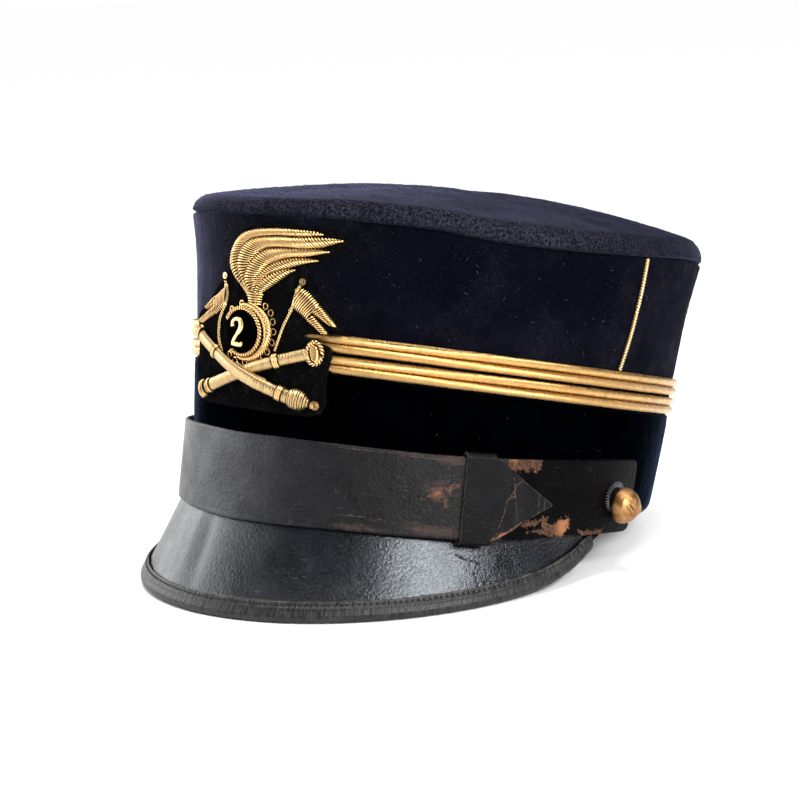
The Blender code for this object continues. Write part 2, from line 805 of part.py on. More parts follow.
def disc_rings(across, up, radius, base, thick, dome, count=20):
    """Rings of a low cushion: flat back, rounded rim, domed face."""
    rings = []
    for share, out in (
        (0.55, base),
        (1.0, base),
        (1.0, base + thick),
        (0.72, base + thick + dome * 0.55),
        (0.3, base + thick + dome),
    ):
        ring = []
        for i in range(count):
            r = 2 * math.pi * i / count
            ring.append(
                on_badge(
                    across + radius * share * math.cos(r),
                    up + radius * share * math.sin(r),
                    out,
                )
            )
        rings.append(ring)
    return rings


def badge_numeral(look):
    """Plain figure two drawn as one gold wire over the disc."""
    curve = bpy.data.curves.new("badge_numeral", "CURVE")
    curve.dimensions = "3D"
    curve.bevel_depth = 0.75 * MM
    curve.bevel_resolution = 2
    curve.use_fill_caps = True
    path = []
    for degrees in (170, 125, 80, 35, -10, -50):
        r = math.radians(degrees)
        path.append((2.5 * math.cos(r), 2.2 + 2.3 * math.sin(r)))
    path += [(-0.2, -1.2), (-2.6, -3.9), (0.0, -4.2), (2.8, -4.2)]
    spline = curve.splines.new("POLY")
    spline.points.add(len(path) - 1)
    for point, (u, h) in zip(spline.points, path):
        place = on_badge(DISC_ACROSS + u, DISC_UP + h, 7.5)
        point.co = (*(place * MM), 1)
    return link("badge_numeral", curve, look)


def bolster(name, table, look, sides=8):
    """Padded bar along a line on the badge, oval in section."""
    rings = []
    for i, (u, h, out, wide, thick) in enumerate(table):
        before, after = table[max(i - 1, 0)], table[min(i + 1, len(table) - 1)]
        along = Vector((after[0] - before[0], after[1] - before[1])).normalized()
        ring = []
        for k in range(sides):
            r = 2 * math.pi * k / sides
            shift = wide * math.cos(r)
            ring.append(
                on_badge(u - along.y * shift, h + along.x * shift, out + thick * math.sin(r))
            )
        rings.append(ring)
    return closed_tube(name, rings, look)


def pennant(name, pole, flag, look):
    """Swallow-tailed flag joined to its staff."""
    rows = [(u, h, out, 0.9, 0.9) for u, h, out in pole]
    staff = bolster(name + "_staff", rows, None, 6)
    outer, inner = [], []
    for row in flag:
        pu, ph, fu, fh = row
        top, low = [], []
        for t in spread(0, 1, 6):
            u, h = pu + (fu - pu) * t, ph + (fh - ph) * t
            base = over_backing(h)
            top.append(on_badge(u, h, base + 1.5))
            low.append(on_badge(u, h, base))
        outer.append(top)
        inner.append(low)
    obj = pad(name, outer, inner, look)
    staff.hide_render = True
    staff.display_type = "WIRE"
    move_to(staff, "kepi_cutters")
    join = obj.modifiers.new("staff", "BOOLEAN")
    join.operation = "UNION"
    join.solver = "EXACT"
    join.object = staff
    return obj


def move_to(obj, collection):
    for old in list(obj.users_collection):
        old.objects.unlink(obj)
    bpy.data.collections[collection].objects.link(obj)


def stand_on_table():
    """Tips the cap back and moves it so that its footprint's middle is the origin."""
    CAP.rotation_euler = (-math.radians(REST_TILT), 0, 0)
    bpy.context.view_layer.update()
    graph = bpy.context.evaluated_depsgraph_get()
    points = []
    for obj in bpy.data.collections["kepi_cap"].objects:
        if obj.type == "EMPTY":
            continue
        made = obj.evaluated_get(graph)
        mesh = made.to_mesh()
        points += [made.matrix_world @ v.co for v in mesh.vertices]
        made.to_mesh_clear()
    low = [min(p[i] for p in points) for i in range(3)]
    high = [max(p[i] for p in points) for i in range(3)]
    CAP.location = (-(low[0] + high[0]) / 2, -(low[1] + high[1]) / 2, -low[2])
    bpy.context.view_layer.update()


# --------------------------------------------------------------------------- assembly
clear_scene()
for title in ("kepi_cap", "kepi_cutters"):
    holder = bpy.data.collections.new(title)
    bpy.context.scene.collection.children.link(holder)
CAP = bpy.data.objects.new("kepi", None)
bpy.data.collections["kepi_cap"].objects.link(CAP)

cloth = material("wool_cloth", (0.012, 0.013, 0.024), 0.9)
velvet = material("velvet", (0.003, 0.004, 0.008), 0.95)
gold = material("gold_wire", (0.62, 0.41, 0.14), 0.35, 0.9)
braid_gold = material("gold_braid", (0.66, 0.44, 0.16), 0.4, 0.85)
peak_leather = material("peak_leather", (0.02, 0.02, 0.024), 0.35)
strap_leather = material("strap_leather", (0.022, 0.018, 0.018), 0.45)
brass = material("brass", (0.58, 0.34, 0.12), 0.35, 1.0)
black_cloth = material("black_cloth", (0.006, 0.006, 0.007), 0.95)

crown_wall(cloth)
crown_top(cloth)
velvet_band(velvet)
braid("braid_lower", BAND_TOP + 0.3, braid_gold)
braid("braid_upper", BAND_TOP + 0.3 + BRAID_HEIGHT + BRAID_GAP, braid_gold)
side_cord("side_cord_left", 1, gold)
side_cord("side_cord_right", -1, gold)
peak(peak_leather)
peak_binding(peak_leather)
long_strap = strap(strap_leather)
short_strap = strap_tail(strap_leather)
strap_keeper(strap_leather)
_, left_seat, left_aim = button("button_left", 1, brass)
_, right_seat, right_aim = button("button_right", -1, brass)
drill(short_strap, left_seat, left_aim, "hole_left")
drill(long_strap, right_seat, right_aim, "hole_right")
badge_backing(black_cloth)
badge_plume(gold)
closed_tube(
    "badge_grenade",
    disc_rings(GRENADE_ACROSS, GRENADE_UP, GRENADE_RADIUS, 3.6, 0.9, 0.0),
    gold,
)
closed_tube(
    "badge_disc", disc_rings(DISC_ACROSS, DISC_UP, DISC_RADIUS, 4.9, 0.7, 0.8), black_cloth
)
badge_numeral(gold)
bolster("badge_cannon_b", CANNON_B, gold)
bolster("badge_cannon_a", CANNON_A, gold)
pennant("badge_pennant_left", POLE_RIGHT, FLAG_RIGHT, gold)
pennant("badge_pennant_right", POLE_LEFT, FLAG_LEFT, gold)
stand_on_table()
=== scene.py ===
"""Looks of the kepi cap: cloth crown, velvet band, gold braids, bullion badge, leather
peak with a rolled binding, worn chin strap, side buttons.

Shapes are worked out in the cap's own frame in millimetres (origin in the middle of the
rim plane, peak towards -Y, wearer's left towards +X) and then tipped back onto the floor
like the solids.
"""

import math

import bpy
import numpy as np
from mathutils import Matrix, Vector

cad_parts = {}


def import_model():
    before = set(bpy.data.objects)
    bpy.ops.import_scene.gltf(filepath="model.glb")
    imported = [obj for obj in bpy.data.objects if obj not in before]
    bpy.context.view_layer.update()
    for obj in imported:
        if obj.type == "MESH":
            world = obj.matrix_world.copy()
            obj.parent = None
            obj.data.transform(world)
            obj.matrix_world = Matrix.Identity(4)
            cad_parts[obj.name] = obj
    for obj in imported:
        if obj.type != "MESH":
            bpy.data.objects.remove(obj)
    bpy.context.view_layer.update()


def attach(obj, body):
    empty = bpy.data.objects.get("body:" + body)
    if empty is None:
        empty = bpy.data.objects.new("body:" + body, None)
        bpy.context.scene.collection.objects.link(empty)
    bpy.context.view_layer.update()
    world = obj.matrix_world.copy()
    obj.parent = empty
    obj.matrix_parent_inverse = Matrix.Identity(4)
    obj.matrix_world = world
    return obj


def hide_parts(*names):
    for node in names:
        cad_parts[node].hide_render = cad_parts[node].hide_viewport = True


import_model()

# ------------------------------------------------------------ dimensions, as in the solids
RIM_HALF_WIDTH, RIM_FRONT, RIM_BACK = 86.7, 103.35, 99.9
FLARE_SIDE, FLARE_FRONT, FLARE_BACK = 0.0874, 0.1231, 0.098
SEAM_HEIGHT, SEAM_RISE = 105.4, 0.0158
SHOULDER_HEIGHT, SHOULDER_WIDTH, DOME_HEIGHT = 6.7, 4.6, 14.8
CLOTH_FACE, CLOTH_THICKNESS = -0.7, 2.0
BAND_TOP, BAND_SLOPE = 45.2, -0.0208
BRAID_HEIGHT, BRAID_GAP = 7.0, 0.8
CORD_RADIUS, CORD_ANGLE_TOP, CORD_ANGLE_LOW, CORD_BOW = 0.85, 93.1, 91.4, 1.3
BINDING_THICKNESS, BINDING_RADIUS, BINDING_WIDTH = 0.9, 1.85, 5.3
STRAP_THICKNESS, KEEPER_THICKNESS, GAP = 1.5, 1.1, 0.32
BUTTON_ANGLE, BUTTON_HEIGHT, BUTTON_RADIUS, BUTTON_DOME = 96.5, 8.6, 7.3, 9.0
REST_TILT = 12.3
REST_SHIFT = (0.0, -0.3405, 21.2651)

PUFF = ((0.0, 0.0), (0.8, 0.0), (0.95, 0.9), (1.0, 1.2))
RIM_RISE = ((98, 0), (110, 1.0), (122, 3.4), (134, 5.2), (146, 4.2), (160, 1.4), (172, 0))
SEAM_WAVE = (
    (0, 0.3),
    (16, 0.8),
    (45, 0.6),
    (57, -1.9),
    (73, -1.9),
    (84, -1.2),
    (105, 0.5),
    (115, 1.2),
    (150, 0.0),
    (180, 0.0),
)
PEAK_EDGE = (
    (0.0, 20.4, 0.0),
    (18.5, 19.7, 0.0),
    (31.0, 18.1, 0.0),
    (44.0, 15.6, 0.0),
    (52.0, 13.6, 0.0),
    (60.0, 11.4, 0.1),
    (68.0, 9.2, 0.5),
    (78.0, 6.7, 2.0),
    (86.0, 5.2, 6.4),
    (93.0, 4.3, 14.5),
)
STRAP_LINE = (
    (0, -11.9, 33.0, 6.9, 2.6),
    (12, -11.3, 32.8, 6.7, 2.6),
    (28, -10.1, 31.8, 6.2, 2.6),
    (47, -9.4, 31.2, 6.5, 3.5),
    (57, -8.9, 31.2, 7.6, 4.9),
    (66, -8.0, 31.0, 7.4, 4.9),
    (76, -6.0, 29.8, 5.6, 3.6),
    (92, -3.6, 29.0, 4.8, 2.2),
    (104, -2.9, 28.7, 2.4, 1.4),
)
STRAP_FAR = (
    (0, -11.9, 33.0, 6.9, 2.6),
    (12, -11.3, 32.8, 6.7, 2.6),
    (28, -10.1, 31.8, 5.8, 2.6),
    (47, -9.4, 31.2, 5.2, 2.6),
    (66, -8.0, 31.0, 4.7, 2.4),
    (76, -6.0, 29.8, 4.6, 2.2),
    (92, -3.6, 29.0, 4.6, 2.2),
    (104, -2.9, 28.7, 2.4, 1.4),
)
TAIL_LINE = (
    (56, -8.6, 30.6, 5.7, 2.9),
    (66, -7.7, 30.4, 5.2, 2.8),
    (76, -6.0, 29.8, 4.9, 2.6),
    (92, -3.6, 29.0, 4.6, 2.2),
    (104, -2.9, 28.7, 2.4, 1.4),
)
STRAP_END, TAIL_START, TAIL_END = 64.0, 56.4, 103.8
KEEPER_LEFT, KEEPER_RIGHT, TIP_ANGLE, TIP_HEIGHT = 54.9, 61.2, 75.8, 6.7
TENT = (
    (29.0, 1.15),
    (40.0, 1.15),
    (43.8, 2.3),
    (64.0, 2.3),
    (68.6, 0.8),
    (73.0, -0.1),
    (84.0, -0.1),
    (92.0, 0.3),
    (99.0, 0.85),
    (103.0, 1.1),
)


# ------------------------------------------------------------------ shape functions (mm)
def between(table, x, column):
    keys = [row[0] for row in table]
    return np.interp(x, keys, [row[column] for row in table])


def smooth(table, x, column, reach):
    x = np.asarray(x, float)
    return np.mean(
        [between(table, x + reach * (2 * i / 6 - 1), column) for i in range(7)], axis=0
    )


def world(points):
    """From mm in the cap's frame to metres in the row's frame."""
    p = np.asarray(points, float)
    c, s = math.cos(math.radians(REST_TILT)), math.sin(math.radians(REST_TILT))
    x, y, z = p[..., 0], p[..., 1], p[..., 2]
    turned = np.stack([x, y * c + z * s, -y * s + z * c], -1)
    return (turned + np.array(REST_SHIFT)) * 0.001


def world_vector(v):
    c, s = math.cos(math.radians(REST_TILT)), math.sin(math.radians(REST_TILT))
    return Vector((v[0], v[1] * c + v[2] * s, -v[1] * s + v[2] * c))


def wall(phi, height, out=0.0):
    phi, height, out = np.broadcast_arrays(
        np.asarray(phi, float), np.asarray(height, float), np.asarray(out, float)
    )
    r = np.radians(phi)
    half_width = RIM_HALF_WIDTH + FLARE_SIDE * height
    half_length = np.where(
        np.cos(r) > 0, RIM_FRONT + FLARE_FRONT * height, RIM_BACK + FLARE_BACK * height
    )
    nx, ny = np.sin(r) / half_width, -np.cos(r) / half_length
    size = np.hypot(nx, ny)
    return np.stack(
        [
            half_width * np.sin(r) + nx / size * out,
            -half_length * np.cos(r) + ny / size * out,
            height + 0 * r,
        ],
        -1,
    )


def seam(phi):
    y = wall(phi, SEAM_HEIGHT)[..., 1]
    return SEAM_HEIGHT + SEAM_RISE * y + smooth(SEAM_WAVE, np.abs(phi), 1, 5)


def rim(phi):
    return smooth(RIM_RISE, phi, 1, 4)


def band_top(phi, height):
    return height + BAND_SLOPE * wall(phi, height)[..., 1]


ARC_ANGLES = np.linspace(-75, 75, 601)
_steps = np.linalg.norm(np.diff(wall(ARC_ANGLES, 60.0), axis=0), axis=1)
ARC_LENGTHS = np.concatenate([[0], np.cumsum(_steps)])
ARC_LENGTHS -= np.interp(0, ARC_ANGLES, ARC_LENGTHS)


def arc(phi):
    return np.interp(phi, ARC_ANGLES, ARC_LENGTHS)


def on_badge(across, up, out):
    return wall(np.interp(across, ARC_LENGTHS, ARC_ANGLES), up, out)


def strap_point(line, phi, t, lift=0.0, trim=0.0):
    a = np.abs(phi)
    low = smooth(line, a, 1, 3) + trim
    width = smooth(line, a, 2, 3) - 2 * trim
    stand = smooth(line, a, 3, 3) * (1 - t) + smooth(line, a, 4, 3) * t
    return wall(phi, low + width * t, stand + lift)


def strap_height(line, phi, t):
    a = np.abs(phi)
    return smooth(line, a, 1, 3) + smooth(line, a, 2, 3) * t


def peak_centre(phi):
    a = np.abs(phi)
    reach = smooth(PEAK_EDGE, a, 1, 4) - BINDING_RADIUS - BINDING_THICKNESS / 2
    foot = wall(phi, 0.0, reach)
    floor = -(RIM_BACK - foot[..., 1]) * math.tan(math.radians(REST_TILT))
    height = floor + smooth(PEAK_EDGE, a, 2, 3) + BINDING_RADIUS + BINDING_THICKNESS / 2
    return reach, np.minimum(height, -3.6)


# -------------------------------------------------------------------------------- noise
def _corner(ix, iy, iz, seed):
    n = (ix * 374761393 + iy * 668265263 + iz * 1274126177 + seed * 974634777) & 0xFFFFFFFF
    n = ((n ^ (n >> 13)) * 1103515245) & 0xFFFFFFFF
    n = n ^ (n >> 16)
    return (n & 0xFFFF) / 32767.5 - 1


def value_noise(points, seed=0):
    p = np.asarray(points, float)
    i = np.floor(p).astype(np.int64)
    f = p - i
    f = f * f * f * (f * (f * 6 - 15) + 10)
    total = 0
    for dx in (0, 1):
        for dy in (0, 1):
            for dz in (0, 1):
                weight = (
                    (f[..., 0] if dx else 1 - f[..., 0])
                    * (f[..., 1] if dy else 1 - f[..., 1])
                    * (f[..., 2] if dz else 1 - f[..., 2])
                )
                total = total + weight * _corner(
                    i[..., 0] + dx, i[..., 1] + dy, i[..., 2] + dz, seed
                )
    return total


def fbm(points, scale, octaves=3, seed=0):
    """Fractal noise about -1..1; scale is the size in mm of its largest features."""
    p = np.asarray(points, float) / scale
    total, size = 0, 1.0
    for k in range(octaves):
        total = total + value_noise(p * 2**k + 17.3 * k, seed + k) * size
        size *= 0.5
    return total / 1.75


def noise_1d(x, scale, seed=0):
    x = np.asarray(x, float) / scale
    return value_noise(np.stack([x, 0 * x + 0.37, 0 * x + 0.71], -1), seed)


# ------------------------------------------------------------------------- mesh building
class Build:
    """Gathers grids of points into one mesh."""

    def __init__(self):
        self.points, self.quads, self.rounds, self.maps, self.round_maps = [], [], [], [], []
        self.marks = {}
        self.count = 0

    def grids(self, p, wrap_rows=False, wrap_cols=False, ends=False, uv=None, marks=None):
        """p holds many grids: (number, rows, columns, 3) in mm."""
        p = np.asarray(p, float)
        if p.ndim == 3:
            p = p[None]
            uv = None if uv is None else np.asarray(uv)[None]
            marks = {k: np.asarray(v)[None] for k, v in (marks or {}).items()}
        n, rows, cols, _ = p.shape
        index = np.arange(n * rows * cols).reshape(n, rows, cols) + self.count
        r = np.arange(rows if wrap_rows else rows - 1)
        c = np.arange(cols if wrap_cols else cols - 1)
        r2, c2 = (r + 1) % rows, (c + 1) % cols
        quads = np.stack(
            [
                index[:, r][:, :, c],
                index[:, r][:, :, c2],
                index[:, r2][:, :, c2],
                index[:, r2][:, :, c],
            ],
            -1,
        )
        if uv is None:
            u = np.arange(rows + 1)[None, :, None] + np.zeros((n, 1, cols + 1))
            v = np.arange(cols + 1)[None, None, :] + np.zeros((n, rows + 1, 1))
            uv = np.stack([u, v], -1)
        else:
            uv = np.asarray(uv, float)
            if uv.shape[1] == rows:  # the wrapped step follows on from the last one
                uv = np.concatenate([uv, 2 * uv[:, -1:] - uv[:, -2:-1]], 1)
            if uv.shape[2] == cols:
                uv = np.concatenate([uv, 2 * uv[:, :, -1:] - uv[:, :, -2:-1]], 2)
        maps = np.stack(
            [
                uv[:, r][:, :, c],
                uv[:, r][:, :, c + 1],
                uv[:, r + 1][:, :, c + 1],
                uv[:, r + 1][:, :, c],
            ],
            -2,
        )
        flip = self._inside_out(p[0], wrap_rows, wrap_cols, ends)
        if flip:
            quads, maps = quads[..., ::-1], maps[..., ::-1, :]
        self.points.append(p.reshape(-1, 3))
        self.quads.append(quads.reshape(-1, 4))
        self.maps.append(maps.reshape(-1, 2))
        if ends:
            for k in range(n):
                first, last = list(index[k, 0]), list(index[k, -1])
                first, last = (first, last[::-1]) if flip else (first[::-1], last)
                self.rounds += [first, last]
                self.round_maps += [np.repeat(uv[k, 0, :1], cols, 0)]
                self.round_maps += [np.repeat(uv[k, -1, :1], cols, 0)]
        for name in set(self.marks) | set(marks or {}):
            value = (marks or {}).get(name)
            flat = np.zeros(n * rows * cols) if value is None else np.asarray(value).ravel()
            self.marks.setdefault(name, [np.zeros(self.count)]).append(flat)
        self.count += n * rows * cols
        return self

    @staticmethod
    def _inside_out(p, wrap_rows, wrap_cols, ends):
        """Whether the grid as wound encloses a negative volume."""
        q = p
        if wrap_rows:
            q = np.concatenate([q, q[:1]], 0)
        if wrap_cols:
            q = np.concatenate([q, q[:, :1]], 1)
        q = q - q.reshape(-1, 3).mean(0)
        a, b, c, d = q[:-1, :-1], q[:-1, 1:], q[1:, 1:], q[1:, :-1]
        volume = (np.cross(a, b) * c).sum() + (np.cross(a, c) * d).sum()
        if ends:
            for ring, sign in ((q[0], -1), (q[-1], 1)):
                centre = ring.mean(0)
                volume += sign * (np.cross(ring[:-1], ring[1:]) * centre).sum()
        return volume < 0

    def made(self, name, look, sharp=None, replaces=(), slot=None):
        points = world(np.concatenate(self.points)).astype(np.float32)
        quads = np.concatenate(self.quads).astype(np.int32)
        loops = [quads.ravel()] + [np.array(r, np.int32) for r in self.rounds]
        sizes = np.concatenate(
            [np.full(len(quads), 4), np.array([len(r) for r in self.rounds], int)]
        ).astype(np.int32)
        loops = np.concatenate(loops)
        mesh = bpy.data.meshes.new(name)
        mesh.vertices.add(len(points))
        mesh.vertices.foreach_set("co", points.ravel())
        mesh.loops.add(len(loops))
        mesh.loops.foreach_set("vertex_index", loops)
        mesh.polygons.add(len(sizes))
        starts = np.concatenate([[0], np.cumsum(sizes)[:-1]]).astype(np.int32)
        mesh.polygons.foreach_set("loop_start", starts)
        mesh.update(calc_edges=True)
        layer = mesh.uv_layers.new(name="surface", do_init=False)
        uv = np.concatenate([np.concatenate(self.maps)] + list(self.round_maps))
        layer.uv.foreach_set("vector", uv.astype(np.float32).ravel())
        for mark, values in self.marks.items():
            attribute = mesh.attributes.new(mark, "FLOAT", "POINT")
            attribute.data.foreach_set("value", np.concatenate(values).astype(np.float32))
        mesh.validate()
        mesh.shade_smooth()
        if sharp:
            mesh.set_sharp_from_angle(angle=math.radians(sharp))
        obj = bpy.data.objects.new(name, mesh)
        bpy.context.scene.collection.objects.link(obj)
        mesh.materials.append(look)
        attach(obj, "root")
        if replaces:
            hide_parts(*replaces)
        return obj


def frames_along(path):
    """Unit tangents along paths (number, points, 3)."""
    tangent = np.gradient(path, axis=-2)
    tangent /= np.linalg.norm(tangent, axis=-1, keepdims=True) + 1e-12
    return tangent


def tubes(path, radius, away, sides=6, flat=1.0, turn=0.0):
    """Rings round paths (number, points, 3). away points off the surface."""
    path = np.asarray(path, float)
    tangent = frames_along(path)
    side = np.cross(tangent, away)
    side /= np.linalg.norm(side, axis=-1, keepdims=True) + 1e-12
    up = np.cross(side, tangent)
    angle = np.arange(sides) * 2 * np.pi / sides + turn
    radius = np.asarray(radius, float)
    radius = np.broadcast_to(radius, path.shape[:-1])[..., None, None]
    return (
        path[..., None, :]
        + side[..., None, :] * np.cos(angle)[:, None] * radius
        + up[..., None, :] * np.sin(angle)[:, None] * radius * flat
    )


def spaced(a, b, step):
    return np.linspace(a, b, max(2, int(round(abs(b - a) / step)) + 1))


def curve_through(points, count, power=1.0):
    """Smooth curve through a few points (Catmull-Rom), evenly spaced."""
    p = np.asarray(points, float)
    p = np.concatenate([2 * p[:1] - p[1:2], p, 2 * p[-1:] - p[-2:-1]])
    dense = []
    for i in range(1, len(p) - 2):
        t = np.linspace(0, 1, 24, endpoint=i == len(p) - 3)[:, None]
        a, b, c, d = p[i - 1], p[i], p[i + 1], p[i + 2]
        dense.append(
            0.5
            * (
                2 * b
                + (c - a) * t
                + (2 * a - 5 * b + 4 * c - d) * t**2
                + (3 * b - a - 3 * c + d) * t**3
            )
        )
    dense = np.concatenate(dense)
    length = np.concatenate([[0], np.cumsum(np.linalg.norm(np.diff(dense, axis=0), axis=1))])
    where = np.linspace(0, 1, count) ** power * length[-1]
    return np.stack([np.interp(where, length, dense[:, k]) for k in range(p.shape[1])], -1)


# ---------------------------------------------------------------------------- materials
class Look:
    """Short way to write a shader."""

    def __init__(self, name, **base):
        self.material = bpy.data.materials.new(name)
        self.material.use_nodes = True
        self.tree = self.material.node_tree
        self.shader = self.tree.nodes["Principled BSDF"]
        for key, value in base.items():
            self.set(key.replace("_", " "), value)
        self.object = None

    def set(self, socket, value):
        target = self.shader.inputs[socket]
        if hasattr(value, "is_output"):
            self.tree.links.new(value, target)
        elif isinstance(value, tuple) and len(value) == 3 and target.type == "RGBA":
            target.default_value = (*value, 1)
        else:
            target.default_value = value

    def node(self, kind, links=None, **settings):
        made = self.tree.nodes.new("ShaderNode" + kind)
        for key, value in settings.items():
            setattr(made, key, value)
        for key, value in (links or {}).items():
            target = made.inputs[key]
            if hasattr(value, "is_output"):
                self.tree.links.new(value, target)
            elif isinstance(value, tuple) and len(value) == 3 and target.type == "RGBA":
                target.default_value = (*value, 1)
            else:
                target.default_value = value
        return made

    def place(self):
        """Object coordinates in mm."""
        if self.object is None:
            coord = self.node("TexCoord").outputs["Object"]
            self.object = self.node(
                "VectorMath", {0: coord, 3: 1000.0}, operation="SCALE"
            ).outputs[0]
        return self.object

    def surface(self):
        return self.node("UVMap", uv_map="surface").outputs["UV"]

    def mark(self, name):
        return self.node("Attribute", attribute_name=name).outputs["Fac"]

    def noise(self, size, detail=3.0, rough=0.5, where=None, distortion=0.0):
        return self.node(
            "TexNoise",
            {
                "Vector": where or self.place(),
                "Scale": 1.0 / size,
                "Detail": detail,
                "Roughness": rough,
                "Distortion": distortion,
            },
        ).outputs["Fac"]

    def cells(self, size, feature="DISTANCE_TO_EDGE", where=None, randomness=1.0):
        return self.node(
            "TexVoronoi",
            {
                "Vector": where or self.place(),
                "Scale": 1.0 / size,
                "Randomness": randomness,
            },
            feature=feature,
        ).outputs["Distance"]

    def maths(self, operation, a, b=0.0, c=None, clamp=False):
        links = {0: a, 1: b}
        if c is not None:
            links[2] = c
        return self.node("Math", links, operation=operation, use_clamp=clamp).outputs[0]

    def ramp(self, value, low, high, out_low=0.0, out_high=1.0, ease="SMOOTHSTEP"):
        return self.node(
            "MapRange",
            {
                "Value": value,
                "From Min": low,
                "From Max": high,
                "To Min": out_low,
                "To Max": out_high,
            },
            interpolation_type=ease,
        ).outputs["Result"]

    def mix(self, fac, a, b):
        made = self.node("Mix", data_type="RGBA")
        for socket, value in ((0, fac), (6, a), (7, b)):
            target = made.inputs[socket]
            if hasattr(value, "is_output"):
                self.tree.links.new(value, target)
            else:
                target.default_value = (*value, 1) if isinstance(value, tuple) else value
        return made.outputs[2]

    def fade(self, fac, a, b):
        """Numbers from a to b."""
        return self.maths("MULTIPLY_ADD", fac, self.maths("SUBTRACT", b, a), a)

    def stretch(self, vector, x, y, z, turn=0.0):
        return self.node(
            "Mapping",
            {"Vector": vector, "Scale": (x, y, z), "Rotation": (0, 0, turn)},
            vector_type="POINT",
        ).outputs[0]

    def bump(self, height, depth, strength=1.0, after=None):
        """depth in mm."""
        links = {"Height": height, "Distance": depth * 0.001, "Strength": strength}
        if after is not None:
            links["Normal"] = after
        return self.node("Bump", links).outputs[0]

    def split(self, vector):
        made = self.node("SeparateXYZ", {0: vector})
        return made.outputs[0], made.outputs[1]


def wool(name, dust=1.0, nap_sheen=0.032, dust_and_painted_sheen=0.46):
    look = Look(name, Roughness=0.85, Sheen_Roughness=0.28)
    look.set("Sheen Tint", (0.54, 0.57, 1.0))
    look.set("Specular IOR Level", 0.01)
    lint = look.mark("dust")
    # sheen and pale bluish flecks follow the dust mark: real dust, and on the wall's front left and the top's
    # front also painted sheen for the light there
    look.set("Sheen Weight", look.ramp(lint, 0.0, 1.0, nap_sheen, nap_sheen + dust_and_painted_sheen, "LINEAR"))
    nap = look.noise(0.55, 4.0, 0.7)
    fleck = look.noise(1.0, 3.0, 0.6)
    broad = look.noise(26.0, 4.0, 0.55)
    base = look.mix(look.ramp(nap, 0.3, 0.75), (0.0007, 0.0007, 0.0017), (0.0021, 0.0021, 0.0048))
    base = look.mix(look.ramp(broad, 0.35, 0.7, 0.0, 0.5), base, (0.0026, 0.0027, 0.0056))
    specks = look.ramp(look.cells(2.6, "F1"), 0.10, 0.05)
    specks = look.maths("MULTIPLY", specks, look.ramp(look.noise(7.0, 2.0), 0.5, 0.62))
    specks = look.maths("MULTIPLY", specks, look.ramp(lint, 0.0, 1.0, 0.25, 1.0))
    base = look.mix(look.maths("MULTIPLY", specks, 0.5 * dust), base, (0.10, 0.095, 0.10))
    base = look.mix(
        look.maths("MULTIPLY", lint, look.ramp(fleck, 0.3, 0.8, 0.0, 0.5 * dust)),
        base,
        (0.070, 0.072, 0.100),
    )
    look.set("Base Color", base)
    fine = look.bump(nap, 0.16, 0.8)
    look.set("Normal", look.bump(fleck, 0.22, 0.55, fine))
    return look.material


def velvet_look():
    look = Look("velvet", Roughness=0.9, Sheen_Weight=0.26, Sheen_Roughness=0.20)
    look.set("Sheen Tint", (0.34, 0.52, 0.86))
    look.set("Specular IOR Level", 0.0)
    pile = look.noise(0.7, 3.0, 0.6)
    crush = look.noise(16.0, 4.0, 0.6, distortion=0.6)
    base = look.mix(look.ramp(crush, 0.3, 0.75), (0.0001, 0.0001, 0.0002), (0.0003, 0.0004, 0.0008))
    specks = look.ramp(look.cells(3.4, "F1"), 0.075, 0.04)
    specks = look.maths("MULTIPLY", specks, look.ramp(look.noise(9.0, 2.0), 0.52, 0.66))
    base = look.mix(look.maths("MULTIPLY", specks, 0.5), base, (0.11, 0.11, 0.12))
    look.set("Base Color", base)
    look.set("Normal", look.bump(pile, 0.2, 0.7, look.bump(crush, 1.2, 0.5)))
    return look.material


def gold_look(name, colour, dark, rough=0.36, pitch=None, turn=0.0, line=0.06, tarnish=0.35, streaks=0.0,
              shade_colour=(0.03, 0.013, 0.003)):
    """Gilt wire. pitch is the spacing in mm of fine wires laid across the surface map."""
    look = Look(name, Metallic=1.0)
    stain = look.noise(5.0, 5.0, 0.65)
    fine = look.noise(0.5, 3.0, 0.6)
    colour_mix = look.mix(look.ramp(stain, 0.42, 0.78, 0.0, tarnish), colour, dark)
    if streaks:  # single turns of wire that have dulled
        along = look.stretch(look.surface(), 1.0 / streaks, 1.0 / 6.0, 1.0)
        turns = look.node(
            "TexNoise", {"Vector": along, "Scale": 1.0, "Detail": 3.0, "Roughness": 0.7}
        ).outputs["Fac"]
        colour_mix = look.mix(look.ramp(turns, 0.45, 0.75, 0.0, 0.6), colour_mix, dark)
    # painted shade: the colour goes dark brown where the deep mark is set, in the grooves between wires and
    # strands and on their undersides
    deep = look.mark("deep")
    colour_mix = look.mix(look.ramp(deep, 0.42, 0.82, 0.0, 0.96), colour_mix, shade_colour)
    bump = look.bump(fine, 0.03, 0.5)
    if pitch:
        # the fine wires: a bump, and painted shade darkening the colour in the groove between each
        along = look.stretch(look.surface(), 1.0, 1.0, 1.0, turn)
        u, _ = look.split(along)
        wave = look.maths("SINE", look.maths("MULTIPLY", u, 2 * math.pi / pitch))
        groove = look.ramp(wave, -1.0, 0.2, 0.0, 1.0)
        colour_mix = look.mix(look.ramp(groove, 0.0, 0.9, 0.55, 0.0), colour_mix, dark)
        bump = look.bump(wave, line, 0.9, bump)
    look.set("Base Color", colour_mix)
    look.set("Roughness", look.ramp(stain, 0.3, 0.8, rough - 0.06, rough + 0.16))
    look.set("Normal", bump)
    return look.material


